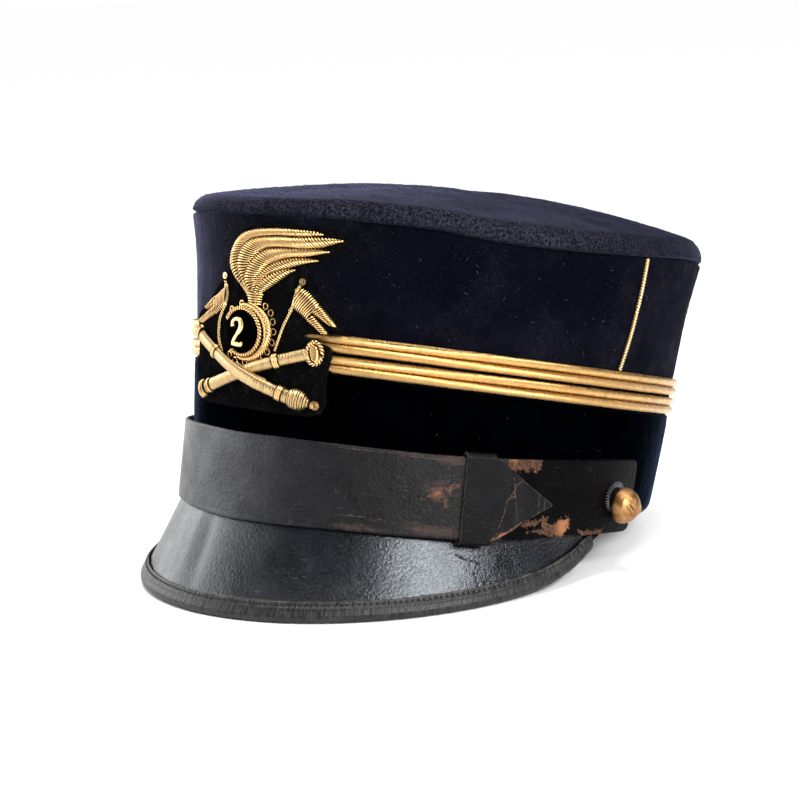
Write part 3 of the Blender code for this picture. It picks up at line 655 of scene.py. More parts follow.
def leather_parts(look, grain=1.0):
    """Grain heights shared by the peak and the strap."""
    pebble = look.cells(1.25, "F1")
    fine = look.cells(0.75, "DISTANCE_TO_EDGE")
    crease = look.ramp(fine, 0.0, 0.2)
    soft = look.noise(1.1, 2.0, 0.5)
    wave = look.noise(9.0, 2.0, 0.4)
    bump = look.bump(wave, 0.12 * grain, 0.5)
    bump = look.bump(soft, 0.16 * grain, 0.9, bump)
    bump = look.bump(pebble, -0.15 * grain, 0.9, bump)
    bump = look.bump(crease, 0.05 * grain, 0.8, bump)
    return bump, soft


def scratch_lines(look, length, width, turn, amount, where=None):
    """Thin straight scratches: very stretched noise, thresholded."""
    stretched = look.stretch(where or look.surface(), 1.0 / length, 1.0 / width, 1.0, turn)
    lines = look.node(
        "TexNoise", {"Vector": stretched, "Scale": 1.0, "Detail": 1.0, "Roughness": 0.4}
    ).outputs["Fac"]
    return look.ramp(lines, 0.76 - amount, 0.80 - amount)


def peak_look():
    look = Look("peak_leather", Specular_IOR_Level=0.46, Specular_Tint=(0.88, 0.94, 1.0))
    bump, soft = leather_parts(look, 0.52)
    worn = look.noise(14.0, 5.0, 0.6)
    dust = look.mark("dust")
    base = look.mix(look.ramp(worn, 0.35, 0.75), (0.0016, 0.0017, 0.0032), (0.0044, 0.0046, 0.0076))
    scuff = scratch_lines(look, 7.0, 0.45, 0.35, 0.018)
    scuff2 = scratch_lines(look, 4.0, 0.45, -0.9, 0.018)
    both = look.maths("MAXIMUM", scuff, scuff2)
    base = look.mix(look.maths("MULTIPLY", both, 0.5), base, (0.10, 0.10, 0.11))
    base = look.mix(look.maths("MULTIPLY", dust, 0.8), base, (0.085, 0.079, 0.072))
    crease = look.mark("crease")
    # painted shade: near black along the creases
    base = look.mix(look.ramp(crease, 0.4, 1.0), base, (0.0008, 0.0008, 0.001))
    look.set("Base Color", base)
    rough = look.ramp(worn, 0.3, 0.75, 0.17, 0.27)
    rough = look.maths("ADD", rough, look.ramp(soft, 0.3, 0.7, 0.05, -0.04))
    rough = look.maths("ADD", rough, look.maths("MULTIPLY", dust, 0.2))
    rough = look.maths("ADD", rough, look.maths("MULTIPLY", look.mark("matt"), 0.13))
    look.set("Roughness", rough)
    bump = look.bump(look.ramp(crease, 0.0, 1.0), -0.2, 1.0, bump)
    look.set("Normal", bump)
    return look.material


def binding_look():
    look = Look("binding_leather", Specular_IOR_Level=0.30)
    across = look.stretch(look.surface(), 1.0 / 1.0, 1.0 / 4.5, 1.0)
    ribs = look.node(
        "TexNoise", {"Vector": across, "Scale": 1.0, "Detail": 3.0, "Roughness": 0.6}
    ).outputs["Fac"]
    worn = look.noise(6.0, 5.0, 0.65)
    base = look.mix(look.ramp(ribs, 0.38, 0.66), (0.0016, 0.0016, 0.0020), (0.019, 0.019, 0.021))
    base = look.mix(look.ramp(worn, 0.45, 0.8, 0.0, 0.7), base, (0.035, 0.031, 0.026))
    edge = look.mark("edge")
    base = look.mix(look.maths("MULTIPLY", edge, look.ramp(worn, 0.42, 0.62)), base, (0.055, 0.046, 0.038))
    # painted shade: near black where the thread pierces the groove
    hole = look.mark("hole")
    base = look.mix(look.ramp(hole, 0.25, 0.8), base, (0.0004, 0.0004, 0.0004))
    look.set("Base Color", base)
    look.set("Roughness", look.ramp(ribs, 0.3, 0.8, 0.36, 0.62))
    look.set("Normal", look.bump(ribs, 0.34, 0.9, look.bump(worn, 0.3, 0.4)))
    return look.material


def strap_look(name, grain=1.1, gloss=0.18, depth=1.0, scuffed=0.55):
    look = Look(name, Specular_IOR_Level=gloss)
    bump, soft = leather_parts(look, grain)
    worn = look.noise(12.0, 5.0, 0.62)
    bite = look.noise(2.2, 5.0, 0.68)
    bare = look.mark("bare")  # mm inside a bare patch, negative outside
    rub = look.mark("rub")
    crack = look.mark("crack")
    flake = look.noise(0.9, 4.0, 0.75)
    bare = look.maths("ADD", bare, look.ramp(bite, 0.25, 0.75, -1.6, 1.6, "LINEAR"))
    bare = look.maths("ADD", bare, look.ramp(flake, 0.25, 0.75, -1.1, 1.1, "LINEAR"))
    bare = look.ramp(bare, -0.08, 0.14)
    black = tuple(c * depth for c in (0.0025, 0.0023, 0.0030))
    grey = tuple(c * depth for c in (0.0070, 0.0064, 0.0076))
    lacquer = look.mix(look.ramp(worn, 0.35, 0.75), black, grey)
    # pale bluish grey on the strap's left part: partly dust, partly a painted highlight for the left lamp's
    # reflection
    haze = look.mark("haze")
    pale = tuple(c * depth for c in (0.0190, 0.0172, 0.0195))
    lacquer = look.mix(look.ramp(flake, 0.50, 0.70, 0.0, 0.60), lacquer, pale)
    lacquer = look.mix(
        look.maths("MULTIPLY", haze, look.ramp(bite, 0.2, 0.7, 0.5, 1.0)), lacquer, (0.080, 0.083, 0.095)
    )
    lacquer = look.mix(look.ramp(flake, 0.28, 0.46, 0.55, 0.0), lacquer, (0.0010, 0.0009, 0.0011))
    streak = look.stretch(look.surface(), 1.0 / 16.0, 1.0 / 0.8, 1.0)
    streaks = look.node(
        "TexNoise", {"Vector": streak, "Scale": 1.0, "Detail": 4.0, "Roughness": 0.65}
    ).outputs["Fac"]
    rubbed = look.ramp(look.maths("ADD", rub, look.ramp(bite, 0.2, 0.8, -0.5, 0.5, "LINEAR")), 0.3, 0.9)
    rubbed = look.maths("MULTIPLY", rubbed, look.ramp(streaks, 0.3, 0.65, 0.35, 1.0))
    base = look.mix(rubbed, lacquer, (0.042, 0.027, 0.022))
    scuff = look.maths(
        "MAXIMUM",
        scratch_lines(look, 9.0, 0.4, 0.06, 0.035),
        scratch_lines(look, 5.0, 0.4, 1.2, 0.025),
    )
    base = look.mix(look.maths("MULTIPLY", scuff, scuffed), base, (0.080, 0.070, 0.066))
    raw_noise = look.noise(1.3, 5.0, 0.7)
    raw = look.mix(look.ramp(raw_noise, 0.3, 0.72), (0.024, 0.013, 0.010), (0.105, 0.055, 0.036))
    tone = look.noise(9.0, 2.0, 0.5)
    raw = look.mix(look.ramp(tone, 0.56, 0.68, 0.0, 0.8), raw, (0.20, 0.088, 0.042))
    raw = look.mix(look.mark("fresh"), raw, (0.27, 0.112, 0.052))
    base = look.mix(bare, base, raw)
    line = look.maths("ADD", crack, look.ramp(flake, 0.2, 0.8, -0.5, 0.5, "LINEAR"))
    line = look.ramp(line, 0.55, 0.85)
    base = look.mix(line, base, (0.075, 0.050, 0.036))
    edge = look.mark("edge")
    rim_worn = look.ramp(
        look.maths("ADD", edge, look.ramp(bite, 0.2, 0.8, -0.5, 0.5, "LINEAR")), 0.75, 1.15
    )
    base = look.mix(rim_worn, base, (0.060, 0.043, 0.036))
    look.set("Base Color", base)
    rough = look.ramp(worn, 0.3, 0.75, 0.33, 0.48)
    rough = look.maths("ADD", rough, look.ramp(flake, 0.3, 0.7, -0.05, 0.05))
    look.set("Roughness", look.fade(look.maths("MAXIMUM", bare, rubbed), rough, 0.8))
    bump = look.bump(look.maths("SUBTRACT", 1.0, bare), 0.16, 1.0, bump)
    bump = look.bump(look.maths("MULTIPLY", raw_noise, bare), 0.25, 0.6, bump)
    bump = look.bump(look.maths("SUBTRACT", 1.0, line), 0.10, 0.9, bump)
    look.set("Normal", bump)
    return look.material


def plain_fibre(name, colour, rough=0.9, sheen=0.3, tint=(0.6, 0.6, 0.65), gloss=0.1, patchy=0.35):
    look = Look(name, Roughness=rough, Sheen_Weight=sheen)
    look.set("Sheen Tint", tint)
    look.set("Specular IOR Level", gloss)
    fluff = look.noise(0.5, 4.0, 0.7)
    patch = look.noise(4.0, 3.0, 0.6)
    darker = tuple(c * 0.4 for c in colour)
    base = look.mix(look.ramp(fluff, 0.3, 0.75), darker, colour)
    base = look.mix(look.ramp(patch, 0.5, 0.8, 0.0, patchy), base, tuple(c * 2.2 for c in colour))
    look.set("Base Color", base)
    look.set("Normal", look.bump(fluff, 0.2, 0.9))
    return look.material


def brass_look():
    look = Look("button_brass", Metallic=1.0)
    wear = look.noise(3.2, 5.0, 0.65)
    pit = look.noise(0.7, 4.0, 0.6)
    dirt = look.mark("dirt")
    base = look.mix(look.ramp(wear, 0.35, 0.7), (0.27, 0.125, 0.042), (0.48, 0.275, 0.115))
    # darker brown in the dents, beside the raised fold and under the rim
    base = look.mix(look.ramp(dirt, 0.1, 0.9, 0.0, 0.85), base, (0.10, 0.045, 0.02))
    look.set("Base Color", base)
    look.set("Roughness", look.ramp(wear, 0.3, 0.75, 0.36, 0.56))
    look.set("Normal", look.bump(pit, 0.12, 0.8, look.bump(wear, 0.35, 0.5)))
    return look.material


CLOTH = wool("wool_cloth")
# the top's wool is the wall's with more sheen: partly dust, partly painted sheen for the brighter top
TOP = wool("wool_top", 0.9, 0.075, 0.13)
VELVET = velvet_look()
BRAID = gold_look(
    "braid_gold", (0.70, 0.44, 0.165), (0.22, 0.10, 0.022), 0.27, 0.52, 0.9, 0.05, 0.40
)
WIRE = gold_look("bullion_wire", (0.75, 0.485, 0.205), (0.26, 0.13, 0.045), 0.25)
NUMERAL = gold_look("numeral_gold", (0.86, 0.66, 0.30), (0.50, 0.31, 0.11), 0.34)
SATIN = gold_look("bullion_satin", (0.63, 0.445, 0.215), (0.17, 0.11, 0.055), 0.36, 0.62, 0.0, 0.04, 0.35, 0.75)
# padding under the wires, coloured near black as painted shade in the gaps between the wires
PADDING_SHADE = gold_look("padding_painted_shade", (0.055, 0.026, 0.008), (0.02, 0.01, 0.003), 0.6)
ROPE = gold_look("cord_gold", (0.80, 0.56, 0.26), (0.16, 0.085, 0.03), 0.28)
PEAK = peak_look()
BINDING = binding_look()
STRAP = strap_look("strap_leather", depth=0.72)
# the tail is the strap's leather made darker (depth 0.3 against 0.72) as painted shade
TAIL = strap_look("strap_tail_leather", 0.85, 0.02, 0.3, 0.18)
KEEPER = strap_look("keeper_leather", 1.1, 0.085, 0.62, 0.35)
BLACK = plain_fibre("black_cloth", (0.0034, 0.0034, 0.0036), sheen=0.010, gloss=0.0, patchy=0.9)
DISC = plain_fibre("disc_velvet", (0.0006, 0.0006, 0.0007), sheen=0.006, gloss=0.0)
THREAD = plain_fibre("thread_dark", (0.034, 0.033, 0.032), 0.75, 0.1)
THREAD_GREY = plain_fibre("thread_grey", (0.11, 0.11, 0.12), 0.8, 0.2)
LINT = plain_fibre("lint", (0.10, 0.10, 0.115), 0.9, 0.1)
FUZZ = plain_fibre("wool_fuzz", (0.020, 0.020, 0.032), 0.9, 0.12, (0.6, 0.64, 1.0), 0.0)
BRASS = brass_look()


# ------------------------------------------------------------------------- crown and top
def seam_pucker(phi):
    """The hand stitching draws the cloth in a little, every few millimetres."""
    s = arc_round(phi)
    return 0.5 + 0.5 * np.sin(2 * np.pi * s / 5.4 + 1.3 * noise_1d(s, 21.0, 5))


def arc_round(phi):
    """Length in mm round the crown."""
    return np.asarray(phi, float) * (math.pi / 180) * 99.0


def crown_wall():
    phi = np.linspace(-180, 180, 641)[:-1]
    top, low = seam(phi), rim(phi)
    rows = []
    t = np.concatenate([np.linspace(0, 0.86, 40), np.linspace(0.87, 1, 22)])
    for x in t:
        height = low + (top - 1.1 - low) * x
        out = CLOTH_FACE + between(PUFF, x, 1) + 0.35 * max(0, (x - 0.85) / 0.15) ** 2
        p = wall(phi, height, out)
        close = max(0.0, 1 - (1 - x) * 100 / 14)
        bumpy = 0.38 * fbm(p, 30.0, 3, 1) + 0.16 * fbm(p, 8.0, 2, 2)
        bumpy -= close * 0.05 * seam_pucker(phi)
        rows.append(wall(phi, height, out + bumpy * min(1, x * 5)))
    last_out = CLOTH_FACE + PUFF[-1][1] + 0.35
    for inward, up in ((0.12, 0.35), (0.45, 0.78), (0.95, 1.05), (1.7, 1.22), (2.4, 1.2)):
        rows.append(wall(phi, top - 1.1 + up, last_out - inward - 0.05 * seam_pucker(phi)))
    for x in np.linspace(1, 0, 12):
        height = low + (top - 0.5 - low) * x
        out = CLOTH_FACE + between(PUFF, x, 1) - CLOTH_THICKNESS
        rows.append(wall(phi, height, out))
    p = np.stack(rows)
    s = arc_round(phi)
    uv = np.stack(np.broadcast_arrays(s[None, :], p[..., 2]), -1)
    dust = np.clip(fbm(p, 22.0, 3, 9) * 0.5 + 0.05 + 0.3 * fbm(p, 4.0, 3, 10), 0, 1) * 0.4
    # raised on the wall's front left: partly dust, partly painted sheen for the light falling on that side
    front = np.exp(-(((phi + 42) / 32) ** 2))[None, :]
    dust = np.clip(dust + front * np.clip(0.8 * fbm(p, 12.0, 3, 12) + 0.75, 0, 1), 0, 1)
    build = Build().grids(p, wrap_rows=True, wrap_cols=True, uv=uv, marks={"dust": dust})
    build.made("cloth_wall", CLOTH, None, ["crown_wall"], "wool_cloth")
    return p[: len(t)]


def crown_top():
    phi = np.linspace(-180, 180, 481)[:-1]
    face = CLOTH_FACE + PUFF[-1][1]
    base = wall(phi, SEAM_HEIGHT, face)
    radius = np.hypot(base[..., 0], base[..., 1])
    lean = 1.05 * np.cos(np.radians(phi - 134))
    pucker = seam_pucker(phi + 1.4)

    def point(inset, lift=0.0):
        keep = 1 - inset / radius
        over = 1 - min(inset / SHOULDER_WIDTH, 1)
        share = math.sqrt(1 - over * over)
        rise = (SHOULDER_HEIGHT + lean) * share + (DOME_HEIGHT - 0.5 * lean) * (1 - keep**2)
        x, y = base[..., 0] * keep, base[..., 1] * keep
        level = seam(phi) * keep + (SEAM_HEIGHT + SEAM_RISE * y) * (1 - keep)
        return np.stack([x, y, level + rise + 0.45 + lift], -1)

    # the folded edge tucks into the seam, then the shoulder swells out over it
    rows = []
    for inward, up in ((2.3, -0.10), (1.6, -0.05), (0.9, 0.02), (0.35, 0.22), (0.05, 0.62)):
        rows.append(wall(phi, seam(phi) + 0.42 + up, face - inward - 0.2 * pucker * (inward < 1)))
    for inset in np.concatenate(
        [0.02 + 4.6 * np.linspace(0, 1, 15)[1:] ** 1.9, np.linspace(6, 88, 44)]
    ):
        p = point(inset)
        swell = 0.55 * math.exp(-(((inset - 0.3) / 1.6) ** 2))
        out = np.stack([base[..., 0], base[..., 1], 0 * phi], -1) / radius[:, None]
        p = p + out * (swell + 0.25)
        amount = min(1.0, inset / 5)
        p[..., 2] += amount * (0.75 * fbm(p, 42.0, 3, 3) + 0.30 * fbm(p, 13.0, 3, 4))
        near = math.exp(-inset / 2.5)
        p = p - out * (near * 0.07 * pucker)[:, None]
        rows.append(p)
    for inset in np.linspace(88, 2.2, 10):
        rows.append(point(inset, -CLOTH_THICKNESS))
    p = np.stack(rows)
    # the pole: outer rows end at a small ring, the inner ones begin at one
    outer, inner = p[:-10], p[-10:]
    strip = np.concatenate([inner, outer])
    uv = strip[..., :2]
    dust = 0.42 + 0.50 * fbm(strip, 26.0, 4, 21) + 0.15 * fbm(strip, 5.0, 3, 22)
    # raised towards the front: partly dust, partly painted sheen for the brighter front of the top
    dust = np.clip(dust + 0.4 * np.clip(-strip[..., 1] / 90, -0.6, 1), 0, 1)
    build = Build().grids(strip, wrap_cols=True, ends=True, uv=uv, marks={"dust": dust})
    build.made("cloth_top", TOP, None, ["crown_top"], "wool_cloth")
    return outer[5:]


def velvet_band():
    phi = np.linspace(-180, 180, 541)[:-1]
    low = 0.6 + rim(phi)
    top = band_top(phi, BAND_TOP) - 0.15
    rows = []
    profile = [(-1.05, 0.9), (-0.75, 0.3), (-0.25, 0.02)]  # out, above the lower edge
    for out, up in profile:
        rows.append(wall(phi, low + up, 0.25 + out))
    for x in np.linspace(0.03, 0.97, 40):
        height = low + (top - low) * x
        p = wall(phi, height, 0.0)
        bumpy = 0.22 * fbm(p, 20.0, 3, 6) + 0.10 * fbm(p, 5.0, 2, 7)
        out = 0.35 + 0.25 * math.sin(math.pi * x) + bumpy
        out -= 0.5 * math.exp(-(1 - x) * 24)
        rows.append(wall(phi, height, out))
    for out, up in ((-0.2, -0.5), (-0.6, -0.15), (-0.95, -0.2)):
        rows.append(wall(phi, top + up, 0.4 + out))
    for x in np.linspace(0.95, 0.05, 5):
        rows.append(wall(phi, low + (top - low) * x, -0.62))
    p = np.stack(rows)
    uv = np.stack(np.broadcast_arrays(arc_round(phi)[None, :], p[..., 2]), -1)
    build = Build().grids(p, wrap_rows=True, wrap_cols=True, uv=uv)
    return build.made("velvet_cover", VELVET, None, ["velvet_band"], "velvet")


def braid(name, low, node):
    """Flat braid woven over two cores, so that it stands in two round ridges."""
    phi = np.linspace(-180, 180, 721)[:-1]
    s = arc_round(phi)
    loop = []
    half = BRAID_HEIGHT / 4
    for centre in (half, 3 * half):
        for angle in np.linspace(-96, 96, 13):
            r = math.radians(angle)
            loop.append((centre + half * 0.985 * math.sin(r), 1.95 * math.cos(r)))
    loop = [(u, max(o, 0.30 if abs(u - 2 * half) < 0.6 else 0.0)) for u, o in loop]
    loop += [(BRAID_HEIGHT * 0.75, -0.08), (BRAID_HEIGHT * 0.25, -0.08)]
    rows, places = [], []
    travel = 0.0
    wander = 0.14 * noise_1d(s, 38.0, 3) + 0.06 * noise_1d(s, 11.0, 4)
    last = loop[0]
    for u, o in loop:
        travel += math.hypot(u - last[0], o - last[1])
        last = (u, o)
        thick = 1 + 0.05 * noise_1d(s + 40 * (u > 3.5), 6.0, 8 + int(u > 3.5))
        height = band_top(phi, low) + u + wander
        rows.append(wall(phi, height, -0.32 + o * thick))
        places.append(travel)
    p = np.stack(rows)
    # the two halves are wound in opposite directions
    sign = np.array([1.0 if u < 2 * half else -1.0 for u, _ in loop])[:, None]
    v = np.array(places)[:, None] * sign
    uv = np.stack(np.broadcast_arrays(s[None, :], v), -1)
    # painted shade: darker down each ridge's flanks and in the groove between the two ridges
    deep = np.array([1 - min(1.0, o / 1.25) for _, o in loop])[:, None] + 0 * p[..., 0]
    build = Build().grids(p, wrap_rows=True, wrap_cols=True, uv=uv, marks={"deep": deep})
    return build.made(name, BRAID, 75, [node], "gold_braid")


def side_cord(name, side, node):
    count = 420
    t = np.linspace(0, 1, count)
    phi = CORD_ANGLE_LOW + (CORD_ANGLE_TOP - CORD_ANGLE_LOW) * t + CORD_BOW * np.sin(np.pi * t)
    low = band_top(CORD_ANGLE_LOW, BAND_TOP) + 2 * BRAID_HEIGHT + BRAID_GAP + 0.5
    high = seam(CORD_ANGLE_TOP) - 0.2
    height = low + (high - low) * t
    puff = between(PUFF, height / seam(phi), 1)
    path = wall(side * phi, height, CLOTH_FACE + puff + CORD_RADIUS + 0.15)
    away = wall(side * phi, height, 1.0) - wall(side * phi, height, 0.0)
    tangent = frames_along(path)
    cross = np.cross(tangent, away)
    sides = 24
    angle = np.arange(sides) * 2 * np.pi / sides
    length = t * (high - low)
    twist = 2 * np.pi * length / 3.6 * side
    lobes = 1 + 0.11 * np.cos(3 * (angle[None, :] + twist[:, None]))
    fine = 1 + 0.03 * np.cos(18 * (angle[None, :] + twist[:, None]))
    radius = CORD_RADIUS * 0.98 * lobes * fine
    ring = (
        path[:, None]
        + cross[:, None] * (np.cos(angle) * radius)[..., None]
        + away[:, None] * (np.sin(angle) * radius)[..., None]
    )
    uv = np.stack(
        np.broadcast_arrays(length[:, None], (angle * CORD_RADIUS * 1.0)[None, :]), -1
    )
    # painted shade in the grooves between the three plies
    deep = np.clip(0.5 - 0.55 * np.cos(3 * (angle[None, :] + twist[:, None])), 0, 1) * 0.85
    build = Build().grids(ring, wrap_cols=True, ends=True, uv=uv, marks={"deep": deep})
    return build.made(name, ROPE, 60, [node], "gold_wire")


# ---------------------------------------------------------------------------------- peak
def peak_section(phi, count):
    """Centre line of the peak at each angle as (out, height), from margin to edge."""
    reach, height = peak_centre(phi)
    start_out, start_height = 0.4, -2.6
    t = np.linspace(0, 1, count)
    hollow = 0.5 * np.sin(np.pi * t)[None, :] * np.minimum(1, -height / 30)[:, None]
    out = start_out + (reach - start_out)[:, None] * t - hollow
    up = start_height + (height - start_height)[:, None] * t
    margin = np.array([(-4.15, 6.0), (-4.15, 3.0), (-4.15, 0.0), (-3.4, -1.4), (-1.6, -2.25)])
    out = np.concatenate([np.repeat(margin[None, :, 0], len(phi), 0), out], 1)
    up = np.concatenate([np.repeat(margin[None, :, 1], len(phi), 0), up], 1)
    return out, up, np.concatenate([np.zeros(len(margin)), t])


FOLDS = (  # angle at the strap and at the edge, half width in degrees, depth in mm
    (-27.0, -21.0, 2.2, 0.45),
    (-20.0, -14.5, 2.6, -0.55),
    (-12.5, -8.0, 2.2, 0.45),
    (-7.0, -3.0, 2.0, -0.40),
    (-39.0, -33.0, 3.0, 0.4),
    (20.0, 24.0, 4.0, -0.25),
    (37.0, 41.0, 5.0, 0.30),
    (66.0, 70.0, 3.0, -0.25),
)
CREASES = (  # angle and share along the peak, from and to
    ((55.4, 0.41), (57.5, 0.475), (59.1, 0.49), (60.8, 0.545)),
    ((59.3, 0.645), (59.8, 0.73), (60.4, 0.825)),
)


def near_line(x, y, points):
    """Distance from (x, y) to a polyline."""
    best = np.full(np.broadcast(x, y).shape, 1e9)
    for (ax, ay), (bx, by) in zip(points, points[1:]):
        dx, dy = bx - ax, by - ay
        t = np.clip(((x - ax) * dx + (y - ay) * dy) / (dx * dx + dy * dy + 1e-12), 0, 1)
        best = np.minimum(best, np.hypot(x - ax - dx * t, y - ay - dy * t))
    return best


def peak():
    phi = np.linspace(-93, 93, 421)
    out, up, share = peak_section(phi, 52)
    d_out, d_up = np.gradient(out, axis=1), np.gradient(up, axis=1)
    size = np.hypot(d_out, d_up)
    n_out, n_up = -d_up / size, d_out / size

    def sheet(lift):
        p = wall(phi[:, None], 0.0, out + n_out * lift)
        p[..., 2] = up + n_up * lift
        return p

    middle = sheet(0.0)
    lift = 0.30 * fbm(middle, 34.0, 3, 31) + 0.10 * fbm(middle, 9.0, 3, 32)
    t = share[None, :]
    for top, low, width, depth in FOLDS:
        centre = top + (low - top) * t
        lift = lift + depth * np.exp(-(((phi[:, None] - centre) / width) ** 2)) * (
            np.sin(np.pi * np.clip(t * 0.9 + 0.05, 0, 1))
        )
    lift = lift * np.clip(t * 6, 0, 1) * np.clip((1.0 - t) * 8, 0.0, 1)
    outer = sheet(0.95 + lift)
    inner = sheet(-0.95 + lift)[:, ::-4]
    edge_row = (outer[:, -1:] + inner[:, :1]) / 2
    p = np.concatenate([outer, edge_row, inner], 1)
    shares = np.concatenate([share, [1.0], share[::-4]])
    scale = arc_round(phi)[:, None] * 1.12
    length = 38.0
    uv = np.stack(np.broadcast_arrays(scale, shares[None, :] * length), -1)
    # creases: a dent in the bump, and painted shade in the colour
    crease = np.zeros(p.shape[:2])
    for line in CREASES:
        mm = [(a * 2.05, b * 30) for a, b in line]
        distance = near_line(phi[:, None] * 2.05, shares[None, :] * 30, mm)
        crease = np.maximum(crease, np.clip(1 - distance / 0.45, 0, 1))
    crease[:, len(share) :] = 0
    dust = np.clip((shares[None, :] - 0.62) * 1.6, 0, 1) * np.clip(
        fbm(p, 13.0, 3, 41) + 0.45, 0, 1
    )
    run = np.sum(size, axis=1, keepdims=True)  # mm from the strap to the edge
    above = (1 - shares[None, :]) * run - BINDING_WIDTH
    ridge = np.exp(-(((above - 1.7) / 0.55) ** 2)) * np.exp(-(((phi[:, None] - 9) / 25) ** 4))
    ridge = ridge * np.clip(0.9 * fbm(p, 5.0, 2, 42) + 0.65, 0, 1)
    dust = np.clip(dust * 0.32 + ridge, 0, 1)
    matt = np.clip((46 - phi) / 34, 0, 1)[:, None] + 0 * dust  # less gloss on the far half
    build = Build().grids(
        p,
        wrap_cols=True,
        ends=True,
        uv=uv,
        marks={"crease": crease, "dust": dust, "matt": matt},
    )
    return build.made("peak_cover", PEAK, 60, ["peak"], "peak_leather")


def binding_frame(phi):
    """Middle of the roll, the way down the peak and the way off its face, in 2-D."""
    reach, height = peak_centre(phi)
    start_out, start_height = 0.4, -2.6
    d_out, d_up = reach - start_out, height - start_height
    hollow = 0.5 * np.minimum(1, -height / 30)
    # direction over the last third, as the solid has it
    t0 = 0.70
    back_out = start_out + (reach - start_out) * t0 - hollow * math.sin(math.pi * t0)
    back_up = start_height + (height - start_height) * t0
    down = np.stack([reach - back_out, height - back_up], -1)
    down /= np.linalg.norm(down, axis=-1, keepdims=True)
    face = np.stack([-down[:, 1], down[:, 0]], -1)
    return reach, height, down, face


